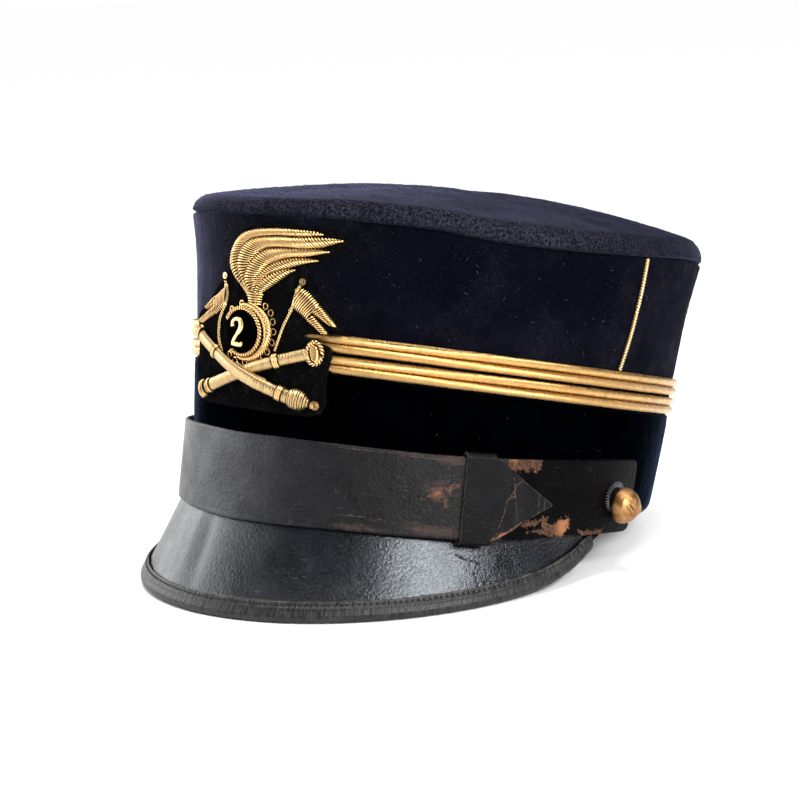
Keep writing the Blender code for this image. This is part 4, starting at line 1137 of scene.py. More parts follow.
def peak_binding():
    phi = np.linspace(-90, 90, 961)
    reach, height, down, face = binding_frame(phi)
    width = np.minimum(BINDING_WIDTH, np.maximum(2.6, -height * 0.3 + 1.6))
    s = arc_round(phi) * 1.15
    big = BINDING_RADIUS + BINDING_THICKNESS / 2
    small = BINDING_RADIUS - BINDING_THICKNESS / 2
    rough_edge = 0.28 * noise_1d(s, 3.1, 51) + 0.18 * noise_1d(s, 1.1, 52)
    away_from_thread = np.abs(((s / 2.3 - 0.5) % 1.0) - 0.5) * 2.3
    pierced = np.exp(-((away_from_thread / 0.42) ** 2))
    loop = []
    marks = []
    hole_shades = {}

    def add(along, across, edge=0.0):
        loop.append((along + 0 * phi, across + 0 * phi))
        marks.append(edge + 0 * phi)

    def add_array(along, across, edge=0.0):
        loop.append((along, across))
        marks.append(edge + 0 * phi)

    reach_up = -width + rough_edge
    add_array(reach_up + 0.05, small + 0.15 + 0 * phi, 1.0)
    add_array(reach_up - 0.12, small + 0.5 + 0 * phi, 1.0)
    add_array(reach_up + 0.02, big - 0.12 + 0 * phi, 1.0)
    for x in np.linspace(0, 1, 16):
        along = reach_up * (1 - x) + 0.35
        line = np.exp(-(((along + width - 1.35) / 0.48) ** 2))
        groove = 0.34 * line * (0.4 + 0.6 * pierced)
        ridge = 0.20 * np.exp(-(((along + width - 2.9) / 0.5) ** 2))
        # the stitch holes along the groove, painted near black as shade
        hole_shades[len(loop)] = line * pierced
        add_array(along, big - groove + ridge, max(0.0, 0.8 - x * 6))
    for angle in np.linspace(12, 168, 12):
        r = math.radians(angle)
        add(big * math.sin(r), big * math.cos(r))
    for x in np.linspace(0.1, 1, 5):
        add_array(-width * 0.8 * x, -big + 0 * phi)
    add_array(-width * 0.8, -small + 0 * phi)
    for x in (0.6, 0.2):
        add_array(-width * x, -small + 0 * phi)
    for angle in (150, 100, 60, 25):
        r = math.radians(angle)
        add(small * math.sin(r), small * math.cos(r))
    add_array(-width * 0.35, small + 0 * phi)
    along = np.stack([a for a, _ in loop], 1)
    across = np.stack([b for _, b in loop], 1)
    ribs = 0.07 * noise_1d(s, 0.9, 53) + 0.06 * noise_1d(s, 2.4, 54)
    outside = np.zeros(len(loop))
    outside[2:31] = 1
    hole = np.zeros(along.shape)
    for place, values in hole_shades.items():
        hole[:, place] = values
    middle_out = reach[:, None]
    length = np.hypot(along, across) + 1e-9
    along = along + (ribs[:, None] * outside) * np.where(along > 0, along / length, 0)
    across = across + (ribs[:, None] * outside) * np.where(
        along > 0, across / length, np.sign(across)
    )
    off = down[:, None, :] * along[..., None] + face[:, None, :] * across[..., None]
    p = wall(phi[:, None], 0.0, middle_out + off[..., 0])
    p[..., 2] = height[:, None] + off[..., 1]
    travel = np.concatenate([[0], np.cumsum(np.hypot(np.diff(along[480]), np.diff(across[480])))])
    uv = np.stack(np.broadcast_arrays(s[:, None], travel[None, :]), -1)
    build = Build().grids(
        p, wrap_cols=True, ends=True, uv=uv, marks={"edge": np.stack(marks, 1), "hole": hole}
    )
    made = build.made("binding_roll", BINDING, 60, ["peak_binding"], "peak_leather")
    # stitches lie in the groove, one every 2.3 mm
    number = int((s[-1] - s[0]) // 2.3)
    centre = (np.arange(number) + 0.5) * 2.3 + math.ceil(s[0] / 2.3) * 2.3 - 2.3 * 0.5
    centre = centre[(centre > s[0] + 3) & (centre < s[-1] - 3)]
    steps = np.linspace(-0.62, 0.62, 7)
    jitter = 0.12 * noise_1d(centre * 7.7, 1.0, 55)
    where = centre[:, None] + steps[None, :]
    angle = np.interp(where, s, phi)
    r_ = np.interp(angle, phi, reach)
    h_ = np.interp(angle, phi, height)
    w_ = np.interp(angle, phi, width)
    d_ = np.stack([np.interp(angle, phi, down[:, k]) for k in (0, 1)], -1)
    f_ = np.stack([np.interp(angle, phi, face[:, k]) for k in (0, 1)], -1)
    slant = 0.18 * steps[None, :] / 0.62 + jitter[:, None]
    hump = big - 0.06 + 0.18 * (1 - (steps / 0.62) ** 2) - 0.22 * (np.abs(steps) > 0.6)
    off = d_ * (-w_ + 1.35 + slant)[..., None] + f_ * np.broadcast_to(hump, w_.shape)[..., None]
    path = wall(angle, 0.0, r_ + off[..., 0])
    path[..., 2] = h_ + off[..., 1]
    away = wall(angle, 0.0, f_[..., 0]) - wall(angle, 0.0, 0.0)
    away[..., 2] = f_[..., 1]
    taper = np.array([0.55, 0.9, 1, 1, 1, 0.9, 0.55]) * 0.20
    ring = tubes(path, taper, away, 6)
    Build().grids(ring, wrap_cols=True, ends=True).made(
        "binding_stitches", THREAD, 70, (), "peak_leather"
    )
    return made


# --------------------------------------------------------------------------------- strap
def inside(x, y, outline):
    """Signed distance in mm to a closed outline, positive inside."""
    points = list(outline) + [outline[0]]
    distance = near_line(x, y, points)
    odd = np.zeros(np.broadcast(x, y).shape, bool)
    for (ax, ay), (bx, by) in zip(points, points[1:]):
        crosses = (ay > y) != (by > y)
        at = ax + (y - ay) * (bx - ax) / (by - ay if by != ay else 1e-9)
        odd ^= crosses & (x < at)
    return np.where(odd, distance, -distance)


DEGREE = 1.62  # mm of strap for one degree


def patches(phi, height, outlines):
    field = np.full(np.broadcast(phi, height).shape, -6.0)
    for outline in outlines:
        mm = [(a * DEGREE, h) for a, h in outline]
        field = np.maximum(field, inside(phi * DEGREE, height, mm))
    return np.clip(field, -6, 6)


def cracks(phi, height, lines, width=0.45):
    field = np.zeros(np.broadcast(phi, height).shape)
    for line in lines:
        mm = [(a * DEGREE, h) for a, h in line]
        field = np.maximum(field, np.clip(1 - near_line(phi * DEGREE, height, mm) / width, 0, 1))
    return field


STRAP_PATCHES = (
    ((48.2, 9.4), (49.6, 10.4), (51.3, 8.6), (51.3, 5.9), (49.7, 4.4), (48.4, 6.4)),
    ((50.6, 8.9), (52.4, 11.4), (54.9, 12.6), (55.1, 12.0), (53.0, 9.9), (51.2, 8.0)),
    ((50.9, 5.0), (51.6, 2.2), (52.0, 5.6)),
    ((46.4, 5.6), (48.2, 6.9), (48.3, 5.9)),
)
STRAP_RUBS = (  # angle, height, reach in angle, reach in height, strength
    (52.5, 20.6, 4.5, 2.6, 1.0),
    (44.0, 21.0, 9.0, 1.0, 0.7),
    (50.0, 9.0, 4.5, 5.0, 0.75),
    (49.0, -6.4, 9.0, 2.6, 0.95),
    (33.0, -8.2, 8.0, 1.8, 0.8),
    (20.0, -9.6, 7.0, 1.2, 0.45),
    (30.0, 21.5, 8.0, 0.8, 0.45),
)
STRAP_CRACKS = (
    ((51.6, 18.0), (51.8, 14.0), (51.4, 11.0)),
    ((28.0, -4.5), (33.0, -4.0), (40.0, -4.6), (47.0, -4.2)),
    ((27.5, 5.0), (28.3, 3.4)),
    ((26.0, 20.9), (45.0, 20.4), (55.0, 20.6)),
)
TAIL_PATCHES = (
    (
        (61.0, 23.2),
        (72.6, 24.4),
        (72.3, 19.9),
        (70.9, 19.1),
        (69.7, 20.8),
        (69.4, 18.8),
        (66.8, 18.9),
        (65.0, 17.8),
        (61.0, 18.0),
    ),
    ((69.5, 0.1), (72.5, 0.6), (73.4, -1.0), (71.8, -2.4), (69.0, -2.0)),
    (
        (73.0, 1.1),
        (74.4, 3.1),
        (75.4, 1.6),
        (75.2, -0.6),
        (77.4, -0.6),
        (78.4, 1.5),
        (81.3, 2.2),
        (81.1, -1.4),
        (79.9, -5.6),
        (76.6, -5.4),
        (73.3, -4.4),
        (70.8, -4.3),
        (72.8, -2.6),
        (74.2, -2.4),
    ),
    ((84.2, -2.9), (92.0, -2.3), (91.4, -4.4), (85.3, -5.6)),
)
TAIL_CRACKS = (((70.6, 21.8), (70.2, 19.6), (69.4, 18.6)),)
KEEPER_CRACKS = (
    ((65.0, 17.7), (65.6, 11.5), (66.2, 5.9), (66.9, 0.9)),
    ((65.2, 10.2), (64.0, 7.2), (63.8, 3.0), (62.8, -2.9)),
    ((67.9, 15.6), (65.9, 13.4), (65.2, 10.2)),
    ((64.0, 7.2), (64.9, 8.4), (65.8, 9.4)),
    ((72.3, 9.9), (72.2, 6.2), (72.3, 3.1)),
    ((73.7, 8.6), (73.6, 3.4)),
)


def strap_loft(
    name, line, phi, patch, rub, crack, ends, node, far=None, bulge=0.15, look=None
):
    count = 66
    t_face = np.linspace(0, 1, count)
    grid_phi = phi[:, None]

    def column(t, lift, trim):
        if far is None:
            return strap_point(line, grid_phi, t, lift, trim)
        near_ = strap_point(line, grid_phi, t, lift, trim)
        far_ = strap_point(far, grid_phi, t, lift, trim)
        return np.where((grid_phi < 0)[..., None], far_, near_)

    trim = np.zeros_like(phi)
    for end in ends:
        d = np.abs(phi - end) * DEGREE
        r = 2.6
        trim = np.maximum(trim, np.where(d < r, r - np.sqrt(np.maximum(r * r - (r - d) ** 2, 0)), 0))
    trim = trim[:, None]
    width = 30.5
    edge_round = 0.42
    # face, bevelled towards both edges
    inset = np.minimum(t_face, 1 - t_face) * width
    dip = np.where(
        inset < edge_round, edge_round - np.sqrt(np.maximum(edge_round**2 - (edge_round - inset) ** 2, 0)), 0
    )
    probe = column(t_face[None, :], 0.0, trim)
    waves = bulge * fbm(probe, 16.0, 3, 61) + 0.05 * fbm(probe, 4.0, 2, 62)
    waves = waves - 0.12 * np.exp(-(((inset[None, :] - 1.9) / 0.5) ** 2)) * 0.6
    face = column(t_face[None, :], STRAP_THICKNESS + waves * 1.0 - dip[None, :] - 0.04, trim)
    t_back = np.linspace(0.985, 0.015, 10)
    back = column(t_back[None, :], 0.04 + 0 * waves[:, :1], trim)
    mid_high = column(np.array([[1.006]]), STRAP_THICKNESS * 0.5, trim)
    mid_low = column(np.array([[-0.006]]), STRAP_THICKNESS * 0.5, trim)
    p = np.concatenate([face, mid_high, back, mid_low], 1)
    t_all = np.concatenate([t_face, [1.0], t_back, [0.0]])[None, :]
    height = strap_height(line, grid_phi, t_all)
    bare = patches(grid_phi, height, patch) if patch else np.full(height.shape, -6.0)
    rubbed = np.zeros(height.shape)
    for angle, h, da, dh, strength in rub:
        rubbed = np.maximum(
            rubbed,
            strength * np.exp(-(((grid_phi - angle) / da) ** 2) - (((height - h) / dh) ** 2)),
        )
    cracked = cracks(grid_phi, height, crack) if crack else np.zeros(height.shape)
    from_edge = np.minimum(t_all, 1 - t_all) * width
    edge = np.exp(-((from_edge / 0.55) ** 2)) * (0.55 + 0.45 * fbm(p, 12.0, 3, 63))
    edge = np.broadcast_to(edge, height.shape).copy()
    for end in ends:
        edge = np.maximum(edge, 0.8 * np.exp(-((np.abs(grid_phi - end) * DEGREE / 0.5) ** 2)))
    on_back = np.zeros(height.shape)
    on_back[:, count + 1 : -1] = 1
    bare = np.where(on_back > 0, 4.0, bare)  # the flesh side is bare leather
    uv = np.stack(np.broadcast_arrays(grid_phi * DEGREE, height), -1)
    # on the strap's left part: partly dust, partly painted highlight
    haze = np.exp(-np.clip((grid_phi + 14) / 22, 0, 9) ** 2) * (0.62 + 0.5 * fbm(p, 9.0, 3, 64))
    haze = haze * (0.25 + 0.75 * np.exp(-np.clip((-grid_phi - 38) / 16, 0, 9) ** 2))
    haze = np.clip(haze * (look is None), 0, 1) * 0.95
    fresh = np.exp(-(((grid_phi - 79.9) / 1.7) ** 2) - (((height + 1.4) / 3.4) ** 2))
    fresh = np.clip(fresh * 1.3, 0, 0.9) * (look is not None)
    marks = {
        "bare": bare,
        "rub": rubbed,
        "crack": cracked,
        "edge": edge,
        "haze": haze,
        "fresh": fresh,
    }
    build = Build().grids(p, wrap_cols=True, ends=True, uv=uv, marks=marks)
    return build.made(name, look or STRAP, 55, [node], "strap_leather")


def strap():
    phi = np.concatenate(
        [
            -TAIL_END + np.array([0, 0.12, 0.4, 0.8, 1.3, 1.9, 2.6]),
            np.linspace(-100.4, -44, 48),
            np.linspace(-43, STRAP_END, 380),
        ]
    )
    return strap_loft(
        "strap_long",
        STRAP_LINE,
        phi,
        STRAP_PATCHES,
        STRAP_RUBS,
        STRAP_CRACKS,
        [-TAIL_END],
        "strap",
        far=STRAP_FAR,
    )


def strap_tail():
    phi = np.concatenate(
        [
            np.linspace(TAIL_START, TAIL_END - 2.9, 190),
            TAIL_END - np.array([2.6, 1.9, 1.3, 0.8, 0.4, 0.12, 0.0]),
        ]
    )
    rub = ((66.0, 22.0, 8.0, 1.5, 0.7), (80.0, -5.0, 8.0, 1.2, 0.6), (98, -3.0, 5.0, 1.0, 0.3))
    return strap_loft(
        "strap_short",
        TAIL_LINE,
        phi,
        TAIL_PATCHES,
        rub,
        TAIL_CRACKS,
        [TAIL_END],
        "strap_tail",
        bulge=0.1,
        look=TAIL,
    )


def tip_point(phi, place, half):
    ease = np.clip((phi - 65.2) / 4.0, 0, 1)
    ease = ease * ease * (3 - 2 * ease)
    lift = STRAP_THICKNESS + GAP + half
    high = strap_point(STRAP_LINE, phi, place, lift)
    low = strap_point(TAIL_LINE, phi, place, lift - 0.12)
    return high + (low - high) * np.asarray(ease)[..., None]


def strap_keeper():
    """Loop whose front runs on into a pointed tip; the sheet is thickened afterwards."""
    half = KEEPER_THICKNESS / 2
    front = 57
    cols = np.linspace(KEEPER_LEFT, KEEPER_RIGHT, 26)
    t = np.linspace(0, 1, front)
    lift = STRAP_THICKNESS + GAP + half
    points = strap_point(STRAP_LINE, cols[:, None], t[None, :], lift)
    top_out, low_out = points[:, -1], points[:, 0]
    back_t = np.linspace(1, 0, 12)
    back = strap_point(TAIL_LINE, cols[:, None], back_t[None, :], -GAP - half)
    rise = np.array([0, 0, 1.15])

    def fold(a, b, sign):
        out = []
        for angle in np.linspace(0, math.pi, 9)[1:-1]:
            share = (1 - math.cos(angle)) / 2
            out.append(a * (1 - share) + b * share + rise * sign * math.sin(angle) * 1.35)
        return np.stack(out, 1)

    loop = np.concatenate(
        [points, fold(top_out, back[:, 0], 1), back, fold(back[:, -1], low_out, -1)], 1
    )
    rows = loop.shape[1]
    verts = [loop.reshape(-1, 3)]
    index = np.arange(len(cols) * rows).reshape(len(cols), rows)
    faces = []
    for i in range(len(cols) - 1):
        for j in range(rows):
            k = (j + 1) % rows
            faces.append((index[i, j], index[i + 1, j], index[i + 1, k], index[i, k]))
    # the tip
    low_edge = float(strap_height(STRAP_LINE, KEEPER_RIGHT, 0.0))
    high_edge = float(strap_height(STRAP_LINE, KEEPER_RIGHT, 1.0))
    previous = index[-1, :front]
    start = len(cols) * rows
    tip_phi = np.linspace(KEEPER_RIGHT, TIP_ANGLE - 0.35, 62)[1:]
    heights_all = strap_height(STRAP_LINE, cols[:, None], t[None, :])
    info_phi = [np.repeat(cols, rows)]
    loop_h = np.concatenate(
        [heights_all, np.full((len(cols), rows - front), -50.0)], 1
    )
    info_h = [loop_h.ravel()]
    edge_info = [np.zeros((len(cols), rows))]
    edge_info[0][0, :] = 1.0
    edge_info[0] = edge_info[0].ravel()
    raw_info = [np.full(len(cols) * rows, -6.0)]
    for phi in tip_phi:
        share = (phi - KEEPER_RIGHT) / (TIP_ANGLE - KEEPER_RIGHT)
        height = low_edge + (high_edge - low_edge) * t
        height = height + (TIP_HEIGHT - height) * share
        low = float(strap_height(TAIL_LINE, phi, 0.0))
        width = float(strap_height(TAIL_LINE, phi, 1.0)) - low
        p = tip_point(np.full(front, phi), (height - low) / width, half)
        verts.append(p)
        row = np.arange(front) + start
        start += front
        for j in range(front - 1):
            faces.append((previous[j], row[j], row[j + 1], previous[j + 1]))
        previous = row
        info_phi.append(np.full(front, phi))
        info_h.append(height)
        tall = (high_edge - low_edge) * (1 - share)
        from_top, from_low = (1 - t) * tall, t * tall
        end = (TIP_ANGLE - phi) * DEGREE * 0.9
        e = 1.05 * np.exp(-((np.minimum(np.minimum(from_top, from_low), end) / 0.5) ** 2))
        edge_info.append(e * (1.0 if phi > 66 else 0.75))
        raw_info.append(np.where(phi < 68.5, 2.6 - from_low * 2.6, -6.0))
    faces.append(tuple(int(x) for x in previous))
    verts = np.concatenate(verts)
    info_phi, info_h = np.concatenate(info_phi), np.concatenate(info_h)
    edge = np.concatenate(edge_info)
    mesh = bpy.data.meshes.new("keeper_loop")
    mesh.from_pydata(world(verts).tolist(), [], [tuple(int(i) for i in f) for f in faces])
    mesh.update()
    layer = mesh.uv_layers.new(name="surface", do_init=False)
    ids = np.zeros(len(mesh.loops), np.int32)
    mesh.loops.foreach_get("vertex_index", ids)
    flat = np.stack([info_phi * DEGREE, np.maximum(info_h, -12)], -1)
    layer.uv.foreach_set("vector", flat[ids].astype(np.float32).ravel())
    cracked = cracks(info_phi, info_h, KEEPER_CRACKS, 0.5)
    rub = 0.75 * np.exp(-(((info_phi - 63.4) / 2.6) ** 2) - (((info_h + 5.0) / 2.0) ** 2))
    rub = np.maximum(
        rub, 0.5 * np.exp(-(((info_phi - 67.2) / 1.5) ** 2) - (((info_h - 0.5) / 1.5) ** 2))
    )
    bare = np.concatenate(raw_info)
    bare = np.maximum(bare, 0.5 - np.abs(info_phi - KEEPER_LEFT) * DEGREE * 6)
    for name, values in (("bare", bare), ("rub", rub), ("crack", cracked), ("edge", edge)):
        attribute = mesh.attributes.new(name, "FLOAT", "POINT")
        attribute.data.foreach_set("value", values.astype(np.float32))
    mesh.shade_smooth()
    obj = bpy.data.objects.new("keeper_loop", mesh)
    bpy.context.scene.collection.objects.link(obj)
    mesh.materials.append(KEEPER)
    solid = obj.modifiers.new("thickness", "SOLIDIFY")
    solid.thickness = KEEPER_THICKNESS * 0.001
    solid.offset = 0
    round_ = obj.modifiers.new("worn_edges", "BEVEL")
    round_.width = 0.00022
    round_.segments = 2
    round_.limit_method = "ANGLE"
    round_.angle_limit = math.radians(50)
    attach(obj, "root")
    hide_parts("strap_keeper")
    return obj


# ------------------------------------------------------------------------------- buttons
def button(name, side, node):
    line = TAIL_LINE if side > 0 else STRAP_FAR
    low = float(strap_height(line, BUTTON_ANGLE, 0.0))
    high = float(strap_height(line, BUTTON_ANGLE, 1.0))
    t = (BUTTON_HEIGHT - low) / (high - low)
    seat = strap_point(line, np.array(side * BUTTON_ANGLE), t - 0.02, STRAP_THICKNESS + 1.0)
    normal = wall(side * BUTTON_ANGLE, 8.6, 1.0) - wall(side * BUTTON_ANGLE, 8.6, 0.0)
    aim = np.array([normal[0], normal[1], -FLARE_SIDE])
    aim /= np.linalg.norm(aim)
    up = np.array([0.0, 0.0, 1.0])
    right = np.cross(up, aim)
    right /= np.linalg.norm(right)
    up = np.cross(aim, right)
    radius, dome = BUTTON_RADIUS - 0.15, BUTTON_DOME - 0.2
    profile = []
    for angle in np.linspace(3, 90, 46):
        r = math.radians(angle)
        profile.append((radius * math.sin(r), 1.6 + (dome - 1.6) * math.cos(r)))
    for angle in np.linspace(100, 200, 10):
        r = math.radians(angle)
        profile.append((radius - 0.75 + 0.75 * math.sin(r), 1.5 + 0.75 * math.cos(r)))
    profile += [(radius - 1.6, 0.75), (3.2, 0.55), (1.9, 0.4), (1.25, 0.1), (1.15, -3.2)]
    profile = np.array(profile)
    around = np.linspace(0, 2 * np.pi, 97)[:-1]
    x = profile[:, 0][:, None] * np.cos(around)
    y = profile[:, 0][:, None] * np.sin(around)
    z = profile[:, 1][:, None] + 0 * around
    on_dome = np.clip((46 - np.arange(len(profile))) / 4.0, 0, 1)[:, None]
    shape = np.stack([x, y, z], -1)
    # a plain worn relief: a raised ring with a soft fold across it, rubbed nearly flat
    fold = near_line(x, y, [(-4.2, 0.6), (-1.0, -2.6), (3.4, -1.2), (5.2, 1.0)])
    relief = 0.50 * np.exp(-((fold / 0.45) ** 2))
    second = near_line(x, y, [(-1.0, -2.6), (0.6, -5.2)])
    relief += 0.26 * np.exp(-((second / 0.5) ** 2))
    ring = np.abs(np.hypot(x, y) - radius * 0.86)
    relief += 0.10 * np.exp(-((ring / 0.3) ** 2))
    dent = -0.5 * np.exp(-((np.hypot(x - 1.5, y + 3.9) / 1.5) ** 2))
    dent += -0.25 * np.exp(-((np.hypot(x + 3.0, y - 2.5) / 1.8) ** 2))
    lift = (relief + dent + 0.10 * fbm(shape * 1.0 + 50, 2.2, 3, 71)) * on_dome
    direction = np.stack([x, y, (z - 1.6) * 0.9], -1)
    direction /= np.linalg.norm(direction, axis=-1, keepdims=True) + 1e-9
    shape = shape + direction * lift[..., None]
    # darker in the dents, beside the raised fold and over the whole underside
    dirt = np.clip(-dent * 1.4 + 0.5 * np.exp(-(((fold - 0.8) / 0.35) ** 2)), 0, 1) * on_dome
    dirt = np.maximum(dirt, 1 - on_dome)
    p = (
        seat
        + shape[..., :1] * right
        + shape[..., 1:2] * up
        + shape[..., 2:3] * aim
    )
    build = Build().grids(p, wrap_cols=True, ends=True, marks={"dirt": dirt})
    made = build.made(name, BRASS, 70, [node], "brass")
    # thread worked round the eyelet that the shank goes through
    count = 36
    theta = np.arange(count) * 2 * np.pi / count
    ring_seat = strap_point(
        line, np.array(side * (BUTTON_ANGLE - 1.3)), t + 2.0 / (high - low), STRAP_THICKNESS
    )
    steps = np.linspace(0, 1, 8)
    radial = 4.3 + 2.1 * steps
    height = 0.05 + 0.42 * np.sqrt(np.clip(1 - (steps * 2 - 1) ** 2, 0, 1))
    swirl = theta[:, None] + 0.05 * steps[None, :] + 0.03 * noise_1d(theta * 9, 1.0, 73)[:, None]
    path = (
        ring_seat
        + right * (radial * np.cos(swirl))[..., None]
        + up * (radial * np.sin(swirl))[..., None]
        + aim * np.broadcast_to(height, swirl.shape)[..., None]
    )
    tube = tubes(path, 0.21, np.broadcast_to(aim, path.shape), 6)
    Build().grids(tube, wrap_cols=True, ends=True).made(
        name + "_eyelet", THREAD_GREY, 70, (), "strap_leather"
    )
    return made


# --------------------------------------------------------------------------------- badge
BACKING = (  # height, left edge, right edge
    (30.3, -26.0, 30.0),
    (31.5, -31.0, 36.0),
    (36.0, -35.0, 38.8),
    (42.0, -34.5, 38.3),
    (48.0, -31.5, 39.0),
    (54.0, -30.5, 40.2),
    (57.6, -31.4, 39.0),
    (59.6, -31.9, 30.5),
    (61.0, -32.0, 27.5),
    (62.2, -32.0, 32.5),
    (64.0, -32.0, 42.8),
    (67.5, -27.5, 41.8),
    (71.0, -24.0, 38.2),
    (75.5, -19.0, 33.8),
    (79.0, -13.8, 30.6),
    (83.0, -9.8, 28.0),
    (86.6, -8.6, 30.0),
    (90.5, -7.6, 37.5),
    (94.5, -4.2, 43.4),
    (98.0, -0.6, 43.0),
    (100.2, 5.5, 38.0),
    (101.0, 10.0, 33.0),
)


def base_out(up):
    """Face of the black backing, off the nominal wall."""
    return smooth(TENT, up, 1, 2.0) + 0.75


def backing():
    up = np.concatenate([spaced(30.3, 101.0, 0.55)])
    left = smooth(BACKING, up, 1, 0.6) + 0.35 * noise_1d(up, 2.3, 81)
    right = smooth(BACKING, up, 2, 0.6) + 0.35 * noise_1d(up, 2.6, 82)
    share = np.linspace(0, 1, 96)
    across = left[:, None] + (right - left)[:, None] * share
    high = up[:, None] + 0 * across
    edge = np.minimum(across - left[:, None], right[:, None] - across)
    edge = np.minimum(edge, np.minimum(up - 30.3, 101.0 - up)[:, None] * 1.2 + 0.05)
    soft = np.clip(edge / 1.1, 0, 1)
    soft = np.sqrt(1 - (1 - soft) ** 2)
    flat = np.stack([across, high, 0 * across], -1)
    fluff = 0.16 * fbm(flat, 1.5, 3, 83) + 0.12 * fbm(flat, 6.0, 2, 84)
    top = on_badge(across, high, base_out(high) - 0.75 + 0.12 + (0.66 + fluff) * soft)
    back = on_badge(across, high, base_out(high) - 0.80)
    ring = np.concatenate([top, back[:, ::-6]], 1)
    build = Build().grids(ring, wrap_cols=True, ends=True)
    return build.made("badge_cloth", BLACK, 70, ["badge_backing"], "black_cloth")


def lay(points, out):
    """Points (across, up) laid on the wall at a distance out."""
    return on_badge(points[..., 0], points[..., 1], out)


def away_at(points):
    return on_badge(points[..., 0], points[..., 1], 1.0) - on_badge(
        points[..., 0], points[..., 1], 0.0
    )


def wire_painted_shade(sides):
    """Painted shade for each corner of a wire's section: none on top, most at the sides and underneath, beside the
    next wire.
    """
    return np.clip(0.80 - 0.80 * np.sin(np.arange(sides) * 2 * np.pi / sides), 0, 1)


def padded_wires(build, pad, left, right, pitch, radius, height, slant=0.0, base=None, seed=0):
    """Fills a leaf between two edges with wires laid side by side over padding.

    left and right are edges (points, 2) running the same way; each wire crosses from the
    left edge to the right one, slant mm further along.
    """
    middle = (left + right) / 2
    length = np.concatenate(
        [[0], np.cumsum(np.linalg.norm(np.diff(middle, axis=0), axis=1))]
    )
    number = max(3, int(length[-1] / pitch))
    where = (np.arange(number) + 0.5) / number * length[-1]
    where = where + 0.10 * pitch * noise_1d(where, 1.3, seed)
    steps = 9
    s = np.linspace(0, 1, steps)
    a = where[:, None] - slant / 2 + slant * s[None, :]
    a = np.clip(a, 0, length[-1])
    pl = np.stack([np.interp(a, length, left[:, k]) for k in (0, 1)], -1)
    pr = np.stack([np.interp(a, length, right[:, k]) for k in (0, 1)], -1)
    p = pl * (1 - s)[None, :, None] + pr * s[None, :, None]
    wide = np.linalg.norm(pr - pl, axis=-1)[:, steps // 2]
    crown = np.sqrt(np.clip(4 * s * (1 - s), 0, 1))
    rise = np.minimum(height, wide * 0.42 + 0.2)[:, None] * crown[None, :]
    under = base_out(p[..., 1]) if base is None else base
    out = under + rise + radius * 0.5 + 0.05 * noise_1d(where * 3.1, 1.0, seed + 1)[:, None]
    path = lay(p, out)
    ring = tubes(path, radius * np.where((s == 0) | (s == 1), 0.75, 1.0), away_at(p), 6)
    travel = np.concatenate([[0], np.cumsum(np.full(steps - 1, 1.0))])
    v = wide[:, None] / (steps - 1) * travel[None, :]
    uv = np.stack(
        np.broadcast_arrays(v[..., None], np.linspace(0, 1, 6)[None, None, :]), -1
    )
    # painted shade at the sides and underside of each wire
    deep = np.broadcast_to(wire_painted_shade(6), ring.shape[:-1])
    build.grids(ring, wrap_cols=True, ends=True, uv=uv, marks={"deep": deep})
    # padding under the wires, coloured near black as painted shade in the gaps between them
    share = np.linspace(0, 1, 9)
    q = left[:, None] * (1 - share)[None, :, None] + right[:, None] * share[None, :, None]
    wide = np.linalg.norm(right - left, axis=-1)
    crown = np.sqrt(np.clip(4 * share * (1 - share), 0, 1))
    rise = np.minimum(height, wide * 0.42 + 0.2)[:, None] * crown[None, :] - radius * 0.35
    under = base_out(q[..., 1]) if base is None else base
    face = lay(q, under + np.maximum(rise, 0.02))
    low = lay(q, under - 0.15)[:, ::-1]
    pad.grids(np.concatenate([face, low], 1), wrap_cols=True, ends=True)


def rope(build, path2, out, strand, offset, pitch, strands=2, sides=6, closed=False, flat=1.0):
    """Strands twisted round a path on the badge; path2 is evenly spaced (points, 2)."""
    path = lay(path2, out)
    tangent = frames_along(path[None])[0]
    away = away_at(path2)
    side = np.cross(tangent, away)
    side /= np.linalg.norm(side, axis=-1, keepdims=True) + 1e-12
    away = np.cross(side, tangent)
    length = np.concatenate([[0], np.cumsum(np.linalg.norm(np.diff(path, axis=0), axis=1))])
    offset = np.broadcast_to(np.asarray(offset, float), len(path))
    strand = np.broadcast_to(np.asarray(strand, float), len(path))
    for k in range(strands):
        angle = 2 * np.pi * (length / pitch + k / strands)
        centre = (
            path
            + side * (np.cos(angle) * offset)[:, None]
            + away * (np.sin(angle) * offset * flat)[:, None]
        )
        ring = tubes(centre[None], strand[None], away[None], sides)
        reach = np.linalg.norm(ring[0] - path[:, None], axis=-1)
        # painted shade: darker towards the rope's middle, in the grooves between the strands; a single strand is
        # shaded at its sides and underside
        deep = 3.6 * (1 - reach / (offset + strand)[:, None])
        if strands == 1:
            deep = deep * 0 + wire_painted_shade(sides)
        uv = np.stack(
            np.broadcast_arrays(length[None, :, None], np.linspace(0, 1, sides)[None, None, :]),
            -1,
        )
        build.grids(ring, wrap_cols=True, ends=True, uv=uv, marks={"deep": deep[None]})


